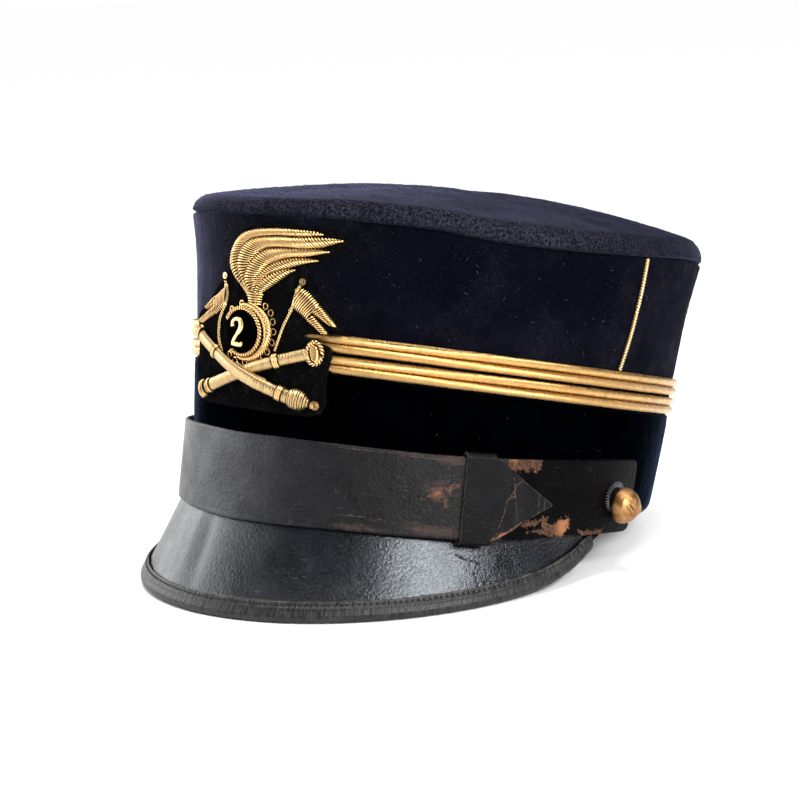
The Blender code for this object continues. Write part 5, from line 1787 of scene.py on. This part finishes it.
# edges of the flame's five tongues, from the neck to the tips: (across, up)
EDGE_OUT = (
    (2.9, 73.6),
    (-0.7, 77.0),
    (-4.4, 80.3),
    (-6.4, 83.9),
    (-6.4, 87.2),
    (-5.2, 90.4),
    (-2.0, 94.4),
    (2.0, 97.0),
    (6.8, 98.4),
    (12.4, 99.2),
    (19.7, 99.6),
    (27.0, 99.6),
    (32.1, 99.3),
    (35.2, 98.5),
)
EDGE_1 = (
    (3.4, 74.2),
    (0.6, 77.6),
    (-1.3, 81.0),
    (-2.1, 85.3),
    (-1.3, 89.1),
    (1.2, 92.5),
    (5.7, 94.9),
    (11.4, 96.1),
    (17.8, 96.7),
    (23.8, 96.9),
    (28.6, 97.2),
    (35.2, 98.5),
)
EDGE_1_TIP = (
    (3.4, 74.2),
    (0.6, 77.6),
    (-1.3, 81.0),
    (-2.1, 85.3),
    (-1.3, 89.1),
    (1.2, 92.5),
    (5.7, 94.9),
    (11.4, 96.1),
    (17.8, 96.7),
    (25.0, 96.9),
    (33.0, 97.4),
    (39.0, 97.5),
    (42.4, 96.9),
)
EDGE_2 = (
    (4.1, 74.5),
    (2.0, 78.0),
    (1.8, 80.6),
    (3.4, 84.7),
    (7.1, 88.5),
    (10.7, 90.9),
    (15.0, 92.2),
    (22.5, 92.6),
    (29.7, 92.8),
    (36.5, 94.3),
    (42.4, 96.9),
)
EDGE_2_TIP = (
    (4.1, 74.5),
    (2.0, 78.0),
    (1.8, 80.6),
    (3.4, 84.7),
    (7.1, 88.5),
    (10.7, 90.9),
    (15.0, 92.2),
    (22.5, 92.6),
    (30.5, 92.9),
    (34.5, 92.9),
    (37.4, 92.4),
)
EDGE_3 = (
    (5.0, 74.7),
    (5.4, 77.5),
    (7.0, 79.9),
    (9.8, 82.5),
    (12.6, 85.0),
    (16.4, 87.0),
    (22.6, 89.0),
    (28.4, 89.9),
    (33.0, 91.0),
    (37.4, 92.4),
)
EDGE_3_TIP = (
    (5.0, 74.7),
    (5.4, 77.5),
    (7.0, 79.9),
    (9.8, 82.5),
    (12.6, 85.0),
    (16.4, 87.0),
    (22.6, 89.0),
    (28.0, 89.4),
    (33.5, 88.8),
)
EDGE_4 = (
    (6.4, 74.8),
    (7.6, 77.0),
    (9.6, 79.3),
    (12.8, 81.8),
    (17.4, 83.7),
    (22.7, 85.4),
    (27.1, 86.9),
    (33.5, 88.8),
)
EDGE_4_TIP = (
    (6.4, 74.8),
    (7.6, 77.0),
    (9.6, 79.3),
    (12.8, 81.8),
    (17.4, 83.9),
    (21.0, 84.8),
    (24.3, 84.5),
)
EDGE_LOW = (
    (9.2, 74.0),
    (10.9, 75.5),
    (14.2, 77.5),
    (18.4, 80.2),
    (21.8, 82.7),
    (24.3, 84.5),
)


PLUME_SHIFT = 1.0


def plume():
    build, pad = Build(), Build()
    tongues = (
        (EDGE_OUT, EDGE_1, 2.0, 1.4, 1),
        (EDGE_1_TIP, EDGE_2, 2.5, 1.7, 2),
        (EDGE_2_TIP, EDGE_3, 2.6, 1.8, 3),
        (EDGE_3_TIP, EDGE_4, 2.4, 1.6, 4),
        (EDGE_4_TIP, EDGE_LOW, 2.2, 1.2, 5),
    )
    for left, right, height, slant, seed in tongues:
        left = curve_through(left, 90) - (PLUME_SHIFT, 0)
        right = curve_through(right, 90) - (PLUME_SHIFT, 0)
        padded_wires(build, pad, left, right, 1.12, 0.35, height, slant, seed=seed * 11)
    # the neck is bound with wires across it
    left = curve_through([(1.1, 74.8), (2.4, 72.6), (3.6, 70.0)], 20)
    right = curve_through([(9.4, 74.6), (8.9, 72.6), (9.0, 70.0)], 20)
    padded_wires(build, pad, left, right, 0.86, 0.33, 2.2, 0.0, seed=90)
    build.made("plume_wires", WIRE, 60, ["badge_plume"], "gold_wire")
    pad.made("plume_padding", PADDING_SHADE, 50, (), "gold_wire")


def ellipse(across, up, a, b, start, stop, count):
    r = np.radians(np.linspace(start, stop, count))
    return np.stack([across + a * np.cos(r), up + b * np.sin(r)], -1)


def grenade():
    build = Build()
    out = 3.85
    # rope round the disc
    ring = ellipse(2.1, 59.4, 8.9, 8.9, -128, 150, 360)
    rope(build, ring, out + 0.35, 0.46, 0.48, 2.5, 2, 8)
    # crescent of slanting wires, widest at the right
    arc_ = ellipse(3.6, 59.4, 10.9, 10.4, -112, 104, 300)
    swell = np.sin(np.linspace(0, np.pi, 300)) ** 0.7
    rope(build, arc_, out - 0.1, 0.20 + 0.24 * swell, 0.15 + 1.0 * swell, 7.4, 6, 8)
    inner = ellipse(2.8, 59.4, 9.9, 9.7, -105, 100, 260)
    rope(build, inner, out - 0.2, 0.40, 0.1, 1.6, 1, 6)
    # picot loops round the outside
    loops = (
        (-5.0, 67.4),
        (-0.2, 70.0),
        (11.7, 69.9),
        (14.6, 67.6),
        (16.2, 64.4),
        (16.8, 60.7),
        (16.3, 56.6),
        (14.3, 52.9),
        (10.6, 49.9),
        (3.6, 47.8),
        (-1.8, 48.3),
        (-4.8, 50.2),
    )
    for k, (u, h) in enumerate(loops):
        loop = ellipse(u, h, 1.05, 1.15, 40 * k, 40 * k + 342, 30)
        base = float(base_out(h)) + 0.7
        rope(build, loop, base, 0.33, 0.0, 1.0, 1, 6)
    build.made("grenade_wires", WIRE, 60, ["badge_grenade"], "gold_wire")
    # velvet disc
    rings = []
    for share, lift in (
        (0.5, 0.0),
        (1.0, 0.0),
        (1.02, 0.35),
        (1.0, 0.75),
        (0.95, 1.05),
        (0.85, 1.35),
        (0.7, 1.6),
        (0.5, 1.78),
        (0.28, 1.86),
        (0.06, 1.9),
    ):
        edge = ellipse(2.1, 59.4, 8.5 * share, 8.5 * share, 0, 360, 73)[:-1]
        rings.append(lay(edge, base_out(59.4) + 0.4 + lift))
    Build().grids(np.stack(rings), wrap_cols=True, ends=True).made(
        "disc_velvet", DISC, 60, ["badge_disc"], "black_cloth"
    )


def numeral():
    """Plain figure two, its stroke swelling and thinning."""
    stroke = curve_through(
        [
            (-2.0, 61.6),
            (-2.2, 62.9),
            (-1.5, 64.2),
            (0.2, 64.9),
            (1.9, 64.3),
            (2.6, 62.6),
            (2.2, 60.8),
            (0.9, 58.9),
            (-0.6, 57.0),
            (-1.9, 55.2),
            (-2.3, 54.2),
        ],
        60,
    )
    x = np.linspace(0, 1, 60)
    half = 0.56 + 0.50 * np.exp(-(((x - 0.46) / 0.20) ** 2)) + 0.26 * np.exp(-((x / 0.07) ** 2))
    half += 0.12 * np.exp(-(((x - 0.9) / 0.1) ** 2))
    foot = curve_through([(-2.5, 54.3), (-0.8, 54.45), (1.0, 54.4), (2.5, 54.3), (2.9, 55.5)], 36)
    y = np.linspace(0, 1, 36)
    half_foot = 0.55 + 0.35 * np.sin(np.pi * np.clip(y * 1.15, 0, 1)) * (y < 0.87)
    half_foot = np.maximum(half_foot, 0.36)
    build = Build()
    lift = float(base_out(59.4)) + 0.4
    for path, width in ((stroke, half), (foot, half_foot)):
        path = path * (0.96, 0.92) + (0.55, 54.3 * 0.08)
        near = np.hypot(path[:, 0] - 2.1, path[:, 1] - 59.4) / 8.5
        dome = 1.9 * np.sqrt(np.clip(1 - 0.75 * near**2, 0, 1))
        along = np.gradient(path, axis=0)
        along /= np.linalg.norm(along, axis=1, keepdims=True)
        across = np.stack([-along[:, 1], along[:, 0]], -1)
        ring = []
        for angle in np.arange(10) * 2 * np.pi / 10:
            q = path + across * (width * math.cos(angle))[:, None]
            ring.append(lay(q, lift + dome + 0.42 + 0.42 * math.sin(angle)))
        ring = np.stack(ring, 1)
        length = np.concatenate([[0], np.cumsum(np.linalg.norm(np.diff(path, axis=0), axis=1))])
        uv = np.stack(np.broadcast_arrays(length[:, None], np.arange(10)[None, :] * 0.1), -1)
        build.grids(ring, wrap_cols=True, ends=True, uv=uv)
    build.made("numeral_wire", NUMERAL, 60, ["badge_numeral"], "gold_wire")


def bar(build, table, ridge=0.42, depth=0.05, step=0.105, sides=18):
    """Padded bar wound closely with fine wire. table: across, up, out, half width, half thickness."""
    t = np.asarray(table, float)
    seg = np.concatenate([[0], np.cumsum(np.linalg.norm(np.diff(t[:, :2], axis=0), axis=1))])
    s = spaced(0, seg[-1], step)
    near = [np.interp(s, seg, t[:, k]) for k in range(5)]
    # ease the kinks between the rows
    window = max(1, int(0.8 / step))
    kernel = np.hanning(2 * window + 3)[1:-1]
    kernel /= kernel.sum()
    for k in (2, 3, 4):
        near[k] = np.convolve(np.pad(near[k], window, mode="edge"), kernel, "valid")
    path = np.stack(near[:2], -1)
    wide, thick, out = near[3], near[4], near[2]
    wave = depth * (np.abs(np.sin(np.pi * s / ridge)) - 0.5)
    along = np.gradient(path, axis=0)
    along /= np.linalg.norm(along, axis=1, keepdims=True)
    across = np.stack([-along[:, 1], along[:, 0]], -1)
    angle = np.arange(sides) * 2 * np.pi / sides
    q = path[:, None] + across[:, None] * (np.cos(angle) * (wide + wave)[:, None])[..., None]
    ring = lay(q, out[:, None] + np.sin(angle) * (thick + wave)[:, None])
    uv = np.stack(np.broadcast_arrays(s[:, None], (angle * 1.5)[None, :]), -1)
    # painted shade: darker in the groove between turns of the winding
    deep = (1.15 - 1.5 * np.abs(np.sin(np.pi * s / ridge))) * min(1, depth * 3)
    deep = np.broadcast_to(np.clip(deep, 0, 1)[:, None], ring.shape[:-1])
    build.grids(ring, wrap_cols=True, ends=True, uv=uv, marks={"deep": deep})


def collar(build, u, h, out, wide, thick, lean, wire=0.34, count=2, spread=0.75):
    """Rings of wire round a bar. lean is the bar's direction in degrees."""
    r = math.radians(lean)
    along = np.array([math.cos(r), math.sin(r)])
    across = np.array([-along[1], along[0]])
    for k in range(count):
        centre = np.array([u, h]) + along * (k - (count - 1) / 2) * spread
        angle = np.linspace(-25, 205, 26)
        q = centre + across * (np.cos(np.radians(angle)) * (wide + 0.15))[:, None]
        q = q + along * (0.15 * np.sin(np.radians(angle)))[:, None]
        height = out + np.sin(np.radians(angle)) * (thick + 0.15)
        path = lay(q, height)
        ring = tubes(path[None], wire, away_at(q)[None] + 1e-3, 8)
        build.grids(ring, wrap_cols=True, ends=True)
    # painted shade: a thin tube coloured fully dark at each side of the rings stands for the shaded gap
    for sign in (-1, 1):
        centre = np.array([u, h]) + along * sign * ((count - 1) / 2 * spread + wire + 0.16)
        angle = np.linspace(-25, 205, 26)
        q = centre + across * (np.cos(np.radians(angle)) * (wide + 0.1))[:, None]
        path = lay(q, out + np.sin(np.radians(angle)) * (thick + 0.1))
        ring = tubes(path[None], 0.25, away_at(q)[None] + 1e-3, 6)
        build.grids(ring, wrap_cols=True, ends=True, marks={"deep": np.ones(ring.shape[:-1])})


def couching(build, points, out, radius=0.26):
    path = curve_through(points, 90)
    rope(build, path, out, radius, radius * 0.8, 1.2, 2, 6)


def cannons():
    # the lower bar first: B runs from the lower left to the rose at the right
    b, rings = Build(), Build()
    bar(
        b,
        (
            (-26.6, 34.8, 3.4, 1.0, 0.8),
            (-26.0, 34.9, 3.5, 3.0, 1.7),
            (-24.6, 35.3, 3.6, 3.7, 2.0),
            (-23.0, 35.8, 3.6, 3.6, 2.0),
            (-21.6, 36.2, 3.6, 2.6, 1.7),
            (-20.6, 36.5, 3.6, 2.5, 1.6),
            (-12.0, 39.2, 3.8, 2.4, 1.5),
            (0.0, 43.2, 4.4, 2.3, 1.5),
            (10.0, 46.9, 4.7, 2.25, 1.5),
            (19.3, 50.0, 4.7, 2.2, 1.5),
            (30.0, 53.4, 4.6, 2.3, 1.5),
            (32.0, 54.0, 4.5, 2.2, 1.2),
        ),
    )
    collar(rings, -22.4, 36.0, 3.6, 3.0, 1.9, 17, 0.36, 2, 1.5)
    collar(rings, -17.8, 37.4, 3.7, 2.5, 1.6, 17, 0.40, 2, 0.7)
    collar(rings, 18.9, 49.9, 4.7, 2.4, 1.6, 18, 0.42, 3, 0.8)
    # rose at the end of B: a ring of rope with slanting strands inside
    rose = ellipse(34.2, 54.4, 2.9, 4.2, 0, 352, 150)
    rope(rings, rose, 4.9, 0.42, 0.44, 2.6, 2, 8)
    for k in range(7):
        x = (k - 3) / 3.6
        half = 3.3 * math.sqrt(max(0.05, 1 - x * x))
        share = np.linspace(-1, 1, 18)
        bend = 1.05 * share + 0.35 * np.sin(share * math.pi)
        reach = 1.9 * math.sqrt(max(0.05, 1 - x * x))
        line = np.stack(
            [34.2 - bend * reach * 0.75, 54.4 + x * 3.1 + share * half * 0.45 + 0 * share], -1
        )
        hump = 4.9 + 0.5 * np.sin(np.linspace(0, np.pi, 18))
        rope(rings, line, hump, 0.38, 0.0, 1.0, 1, 6)
    core = []
    for share, lift in ((1.0, 0.0), (0.95, 0.6), (0.6, 1.0), (0.1, 1.1)):
        core.append(lay(ellipse(34.2, 54.4, 2.8 * share, 4.1 * share, 0, 360, 33)[:-1], 3.6 + lift))
    pad = Build()
    pad.grids(np.stack(core), wrap_cols=True, ends=True)
    pad.made("rose_padding", PADDING_SHADE, 60, (), "gold_wire")
    b.made("barrel_b", SATIN, 60, ["badge_cannon_b"], "gold_wire")
    # A lies over it, from the upper left to the bulb at the lower right
    a = Build()
    bar(
        a,
        (
            (-24.3, 56.3, 4.3, 1.9, 1.2),
            (-23.2, 55.8, 4.4, 2.6, 1.5),
            (-21.5, 54.9, 4.5, 2.4, 1.5),
            (-16.0, 52.3, 4.6, 2.3, 1.5),
            (-11.0, 49.9, 4.9, 2.3, 1.5),
            (-4.0, 46.9, 6.0, 2.3, 1.5),
            (4.0, 43.6, 6.9, 2.4, 1.5),
            (11.0, 41.0, 6.6, 2.45, 1.5),
            (17.0, 39.0, 5.0, 2.5, 1.6),
            (20.5, 37.9, 4.2, 2.55, 1.7),
            (22.5, 37.3, 3.9, 2.8, 1.8),
            (24.0, 36.9, 3.8, 2.8, 1.8),
        ),
    )
    bar(
        a,
        (
            (24.0, 36.9, 3.8, 2.6, 1.6),
            (25.2, 36.7, 3.8, 3.6, 2.2),
            (27.5, 36.4, 3.7, 4.1, 2.4),
            (29.5, 36.0, 3.6, 3.6, 2.1),
            (31.2, 35.6, 3.5, 2.3, 1.6),
            (32.2, 35.4, 3.4, 1.1, 1.0),
        ),
        ridge=0.95,
        depth=0.42,
        step=0.07,
        sides=22,
    )
    collar(rings, -25.0, 57.3, 4.2, 2.6, 1.5, -28, 0.40, 2, 0.9)
    collar(rings, -12.4, 50.6, 4.8, 2.4, 1.6, -25, 0.42, 2, 0.8)
    collar(rings, 20.6, 37.9, 4.2, 2.7, 1.8, -17, 0.42, 3, 0.75)
    # knob: a wire wound in a flat spiral
    turn = np.linspace(0, 2.6 * 2 * np.pi, 90)
    radius = 0.25 + 1.55 * turn / turn[-1]
    knob = np.stack([34.9 + radius * np.cos(turn), 34.8 + radius * np.sin(turn)], -1)
    rope(rings, knob, 3.6 + 0.8 * (1 - turn / turn[-1]), 0.40, 0.0, 1.0, 1, 6)
    # a thin cord edges the crossing
    couching(
        rings,
        [(-9.5, 47.6), (-4.0, 44.6), (1.5, 42.0), (8.0, 39.4)],
        4.4,
        0.24,
    )
    couching(rings, [(1.5, 47.6), (5.0, 45.9), (10.0, 43.9), (15.5, 42.4)], 5.9, 0.26)
    couching(rings, [(0.0, 47.0), (5.5, 44.9), (11.0, 43.0), (17.5, 41.3)], 5.6, 0.26)
    a.made("barrel_a", SATIN, 60, ["badge_cannon_a"], "gold_wire")
    rings.made("barrel_rings", WIRE, 60, (), "gold_wire")


def pennants():
    for name, node, staff, leaves, finial in (
        (
            "pennant_left",
            "badge_pennant_left",
            [(26.2, 79.0), (24.9, 77.0), (23.9, 73.5), (23.0, 69.4), (20.7, 62.5), (17.6, 53.4)],
            (
                (
                    [(25.2, 78.6), (29.4, 76.4), (33.4, 73.0)],
                    [(23.3, 70.2), (27.0, 68.2), (30.4, 65.8)],
                    -2.6,
                ),
                (
                    [(33.2, 73.2), (37.2, 69.6), (41.2, 65.4)],
                    [(31.5, 69.0), (34.6, 67.3), (39.4, 64.9)],
                    -2.2,
                ),
                (
                    [(31.4, 69.2), (34.4, 66.4), (38.2, 62.6)],
                    [(30.2, 65.8), (33.0, 64.0), (36.4, 61.4)],
                    -2.0,
                ),
            ),
            (26.8, 80.5),
        ),
        (
            "pennant_right",
            "badge_pennant_right",
            [(-11.2, 78.2), (-10.4, 76.2), (-9.5, 72.7), (-9.8, 68.9), (-11.0, 63.6), (-11.6, 56.4), (-9.6, 51.2)],
            (
                (
                    [(-10.6, 76.6), (-14.6, 74.2), (-18.0, 72.0)],
                    [(-9.7, 69.1), (-12.4, 67.4), (-15.4, 65.2)],
                    0.6,
                ),
                (
                    [(-17.8, 72.2), (-20.6, 70.4), (-24.8, 67.4)],
                    [(-16.4, 69.0), (-19.0, 68.0), (-23.0, 66.6)],
                    0.4,
                ),
                (
                    [(-16.2, 69.2), (-20.6, 66.0), (-27.8, 62.2)],
                    [(-15.2, 65.4), (-19.6, 63.4), (-26.0, 61.0)],
                    0.4,
                ),
            ),
            (-11.6, 80.0),
        ),
    ):
        flag, pad, pole = Build(), Build(), Build()
        for k, (top, low, slant) in enumerate(leaves):
            left, right = curve_through(top, 50), curve_through(low, 50)
            padded_wires(flag, pad, left, right, 0.90, 0.29, 1.5, slant, seed=200 + 17 * k)
        flag.made(name + "_wires", WIRE, 60, [node], "gold_wire")
        pad.made(name + "_padding", PADDING_SHADE, 50, (), "gold_wire")
        line = curve_through(staff, 220)
        rope(pole, line, base_out(line[:, 1]) + 0.75, 0.34, 0.33, 2.0, 2, 6)
        ball = ellipse(*finial, 1.0, 1.0, 0, 350, 30)
        rope(pole, ball, float(base_out(finial[1])) + 0.6, 0.42, 0.0, 1.0, 1, 6)
        dot = ellipse(*finial, 0.3, 0.3, 0, 330, 14)
        rope(pole, dot, float(base_out(finial[1])) + 0.9, 0.34, 0.0, 1.0, 1, 6)
        for u, h in (staff[1], staff[3]):
            knot = ellipse(u, h, 0.75, 0.55, 0, 345, 20)
            rope(pole, knot, float(base_out(h)) + 0.9, 0.3, 0.0, 1.0, 1, 6)
        pole.made(name + "_staff", ROPE, 60, (), "gold_wire")


# ---------------------------------------------------------------------------------- lint
def lint():
    """Loose fibres caught in the cloth."""
    rng = np.random.default_rng(7)
    build = Build()
    count = 90
    phi = rng.uniform(-70, 170, count)
    high = rng.uniform(64, 100, count)
    paths, aways = [], []
    for k in range(count):
        length = rng.uniform(0.4, 1.3) * (2.2 if k % 17 == 0 else 1.0)
        heading = rng.uniform(0, 2 * math.pi)
        bend = rng.uniform(-0.7, 0.7)
        steps = np.linspace(-0.5, 0.5, 7) * length
        du = steps * math.cos(heading) + bend * (steps**2) * 0.4
        dh = steps * math.sin(heading) + bend * (steps**2) * 0.3
        a = phi[k] + du / 1.7
        h = high[k] + dh
        out = CLOTH_FACE + 0.55 + 0.25 * rng.random() + 0.2 * np.sin(np.linspace(0, np.pi, 7))
        out = out + between(PUFF, h / 105.0, 1)
        paths.append(wall(a, h, out))
        aways.append(wall(a, h, 1.0) - wall(a, h, 0.0))
    ring = tubes(np.stack(paths), 0.045, np.stack(aways), 4)
    build.grids(ring, wrap_cols=True, ends=True)
    build.made("lint_wall", LINT, None, (), "wool_cloth")
    # and on the badge's backing
    count = 420
    high = rng.uniform(31, 100, count)
    left, right = smooth(BACKING, high, 1, 0.6) + 1, smooth(BACKING, high, 2, 0.6) - 1
    across = left + (right - left) * rng.random(count)
    heading = rng.uniform(0, 2 * math.pi, count)
    bend = rng.uniform(-0.4, 0.4, count)
    long = rng.uniform(0.5, 1.6, count)
    x = np.linspace(-0.5, 0.5, 4)
    du = np.cos(heading)[:, None] * x * long[:, None] - (bend * np.sin(heading))[:, None] * x * x
    dh = np.sin(heading)[:, None] * x * long[:, None] + (bend * np.cos(heading))[:, None] * x * x
    line = np.stack([across[:, None] + du, high[:, None] + dh], -1)
    out = base_out(line[..., 1]) + 0.10 + (0.3 * rng.random(count))[:, None] * (x + 0.5)
    ring = tubes(lay(line, out), 0.05, away_at(line), 3)
    Build().grids(ring, wrap_cols=True, ends=True).made(
        "fuzz_backing", FUZZ, None, (), "black_cloth"
    )


def scatter(name, grid, count, lengths, radius, look, seed):
    """Short fibres lying in the nap of a cloth face; grid is closed along its columns."""
    rng = np.random.default_rng(seed)
    ring = np.concatenate([grid, grid[:, :1]], 1)
    across = ring[:-1, 1:] - ring[:-1, :-1]
    up = ring[1:, :-1] - ring[:-1, :-1]
    normal = np.cross(across, up)
    size = np.linalg.norm(normal, axis=-1)
    normal = normal / (size[..., None] + 1e-12)
    middle = ring[:-1, :-1]
    outward = np.sum(normal * middle, -1, keepdims=True)
    normal = normal * np.where(outward < 0, -1, 1)
    chance = size.ravel() / size.sum()
    pick = rng.choice(len(chance), count, p=chance)
    a, b = rng.random((2, count, 1))
    base = middle.reshape(-1, 3)[pick]
    base = base + across.reshape(-1, 3)[pick] * a + up.reshape(-1, 3)[pick] * b
    n = normal.reshape(-1, 3)[pick]
    along = across.reshape(-1, 3)[pick]
    along = along / np.linalg.norm(along, axis=-1, keepdims=True)
    side = np.cross(n, along)
    turn = rng.uniform(0, 2 * math.pi, (count, 1))
    heading = along * np.cos(turn) + side * np.sin(turn)
    bent = np.cross(n, heading) * rng.uniform(-0.5, 0.5, (count, 1))
    long = rng.uniform(*lengths, (count, 1))
    lift = rng.uniform(0.02, 0.30, (count, 1))
    path = [
        base + heading * long * x + bent * long * x * x + n * (0.04 + lift * (x + 0.5))
        for x in (-0.5, 0.0, 0.5)
    ]
    away = np.repeat(n[:, None], 3, 1)
    hair = tubes(np.stack(path, 1), radius, away, 3)
    build = Build().grids(hair, wrap_cols=True, ends=True)
    return build.made(name, look, None, (), "wool_cloth")


wall_face = crown_wall()
top_face = crown_top()
velvet_band()
braid("braid_low", BAND_TOP + 0.3, "braid_lower")
braid("braid_high", BAND_TOP + 0.3 + BRAID_HEIGHT + BRAID_GAP, "braid_upper")
side_cord("cord_left", 1, "side_cord_left")
side_cord("cord_right", -1, "side_cord_right")
peak()
peak_binding()
strap()
strap_tail()
strap_keeper()
button("button_visible", 1, "button_left")
button("button_hidden", -1, "button_right")
backing()
plume()
grenade()
numeral()
cannons()
pennants()
lint()
scatter("fuzz_top", top_face, 2600, (0.5, 1.7), 0.055, FUZZ, 31)
scatter("lint_top", top_face, 420, (0.4, 1.3), 0.06, LINT, 32)
scatter("fuzz_wall", wall_face[34:], 1500, (0.4, 1.3), 0.045, FUZZ, 33)


# ------------------------------------------------------------------ floor, lights, camera
def stage():
    mesh = bpy.data.meshes.new("floor")
    mesh.from_pydata([(-30, -30, 0), (30, -30, 0), (30, 30, 0), (-30, 30, 0)], [], [(0, 1, 2, 3)])
    floor = bpy.data.objects.new("floor", mesh)
    bpy.context.scene.collection.objects.link(floor)
    look = Look("floor_pale", Roughness=0.9)
    look.set("Specular IOR Level", 0.1)
    look.set("Base Color", (0.90, 0.90, 0.90))
    mesh.materials.append(look.material)


def around(angle, height_angle, distance, target=(0, 0, 0.05)):
    """A place by its angle from the cap's front, towards the wearer's left, and its height."""
    a, e = math.radians(angle), math.radians(height_angle)
    return (
        target[0] + distance * math.cos(e) * math.sin(a),
        target[1] - distance * math.cos(e) * math.cos(a),
        target[2] + distance * math.sin(e),
    )


def area(name, angle, height_angle, distance, size, radiance, colour=(1, 1, 1)):
    data = bpy.data.lights.new(name, "AREA")
    data.shape = "RECTANGLE"
    data.size, data.size_y = size
    data.energy = radiance * math.pi * size[0] * size[1]
    data.color = colour
    obj = bpy.data.objects.new(name, data)
    place = around(angle, height_angle, distance)
    obj.location = place
    aim = Vector((0, 0, 0.05)) - Vector(place)
    obj.rotation_euler = aim.to_track_quat("-Z", "Y").to_euler()
    bpy.context.scene.collection.objects.link(obj)
    return obj


def lights():
    area("softbox_right", 78, 29, 1.1, (0.66, 0.40), 20.0)
    area("softbox_left", -68, 18, 1.1, (1.45, 0.60), 5.0)
    area("softbox_back", 176, 42, 1.1, (0.9, 0.4), 1.6)
    top = bpy.data.lights.new("overhead", "SUN")
    top.energy = 2.8
    top.angle = math.radians(34)
    obj = bpy.data.objects.new("overhead", top)
    bpy.context.scene.collection.objects.link(obj)
    world_ = bpy.data.worlds.new("studio")
    world_.use_nodes = True
    bpy.context.scene.world = world_
    tree = world_.node_tree
    back = tree.nodes["Background"]
    path = tree.nodes.new("ShaderNodeLightPath")
    level = tree.nodes.new("ShaderNodeMapRange")
    level.inputs["To Min"].default_value = 0.24
    level.inputs["To Max"].default_value = 1.0
    tree.links.new(path.outputs["Is Camera Ray"], level.inputs["Value"])
    back.inputs["Color"].default_value = (1, 1, 1, 1)
    tree.links.new(level.outputs["Result"], back.inputs["Strength"])


def camera():
    data = bpy.data.cameras.new("camera")
    data.sensor_fit = "HORIZONTAL"
    data.sensor_width = 36.0
    data.lens = 2241.13 * 36.0 / 800.0
    data.clip_start = 0.01
    data.clip_end = 50
    obj = bpy.data.objects.new("camera", data)
    bpy.context.scene.collection.objects.link(obj)
    place = world(np.array([635.7, -686.56, 67.10]))
    back = world_vector((0.69088, -0.72227, 0.03157)).normalized()
    right = world_vector((0.71578, 0.68951, 0.11057)).normalized()
    up = back.cross(right).normalized()
    turn = Matrix((right, up, back)).transposed().to_4x4()
    obj.matrix_world = Matrix.Translation(Vector(place)) @ turn
    bpy.context.scene.camera = obj


stage()
lights()
camera()
scene = bpy.context.scene
scene.view_settings.view_transform = "Standard"
scene.view_settings.look = "None"
scene.view_settings.exposure = 0
scene.view_settings.gamma = 1

bpy.context.view_layer.update()
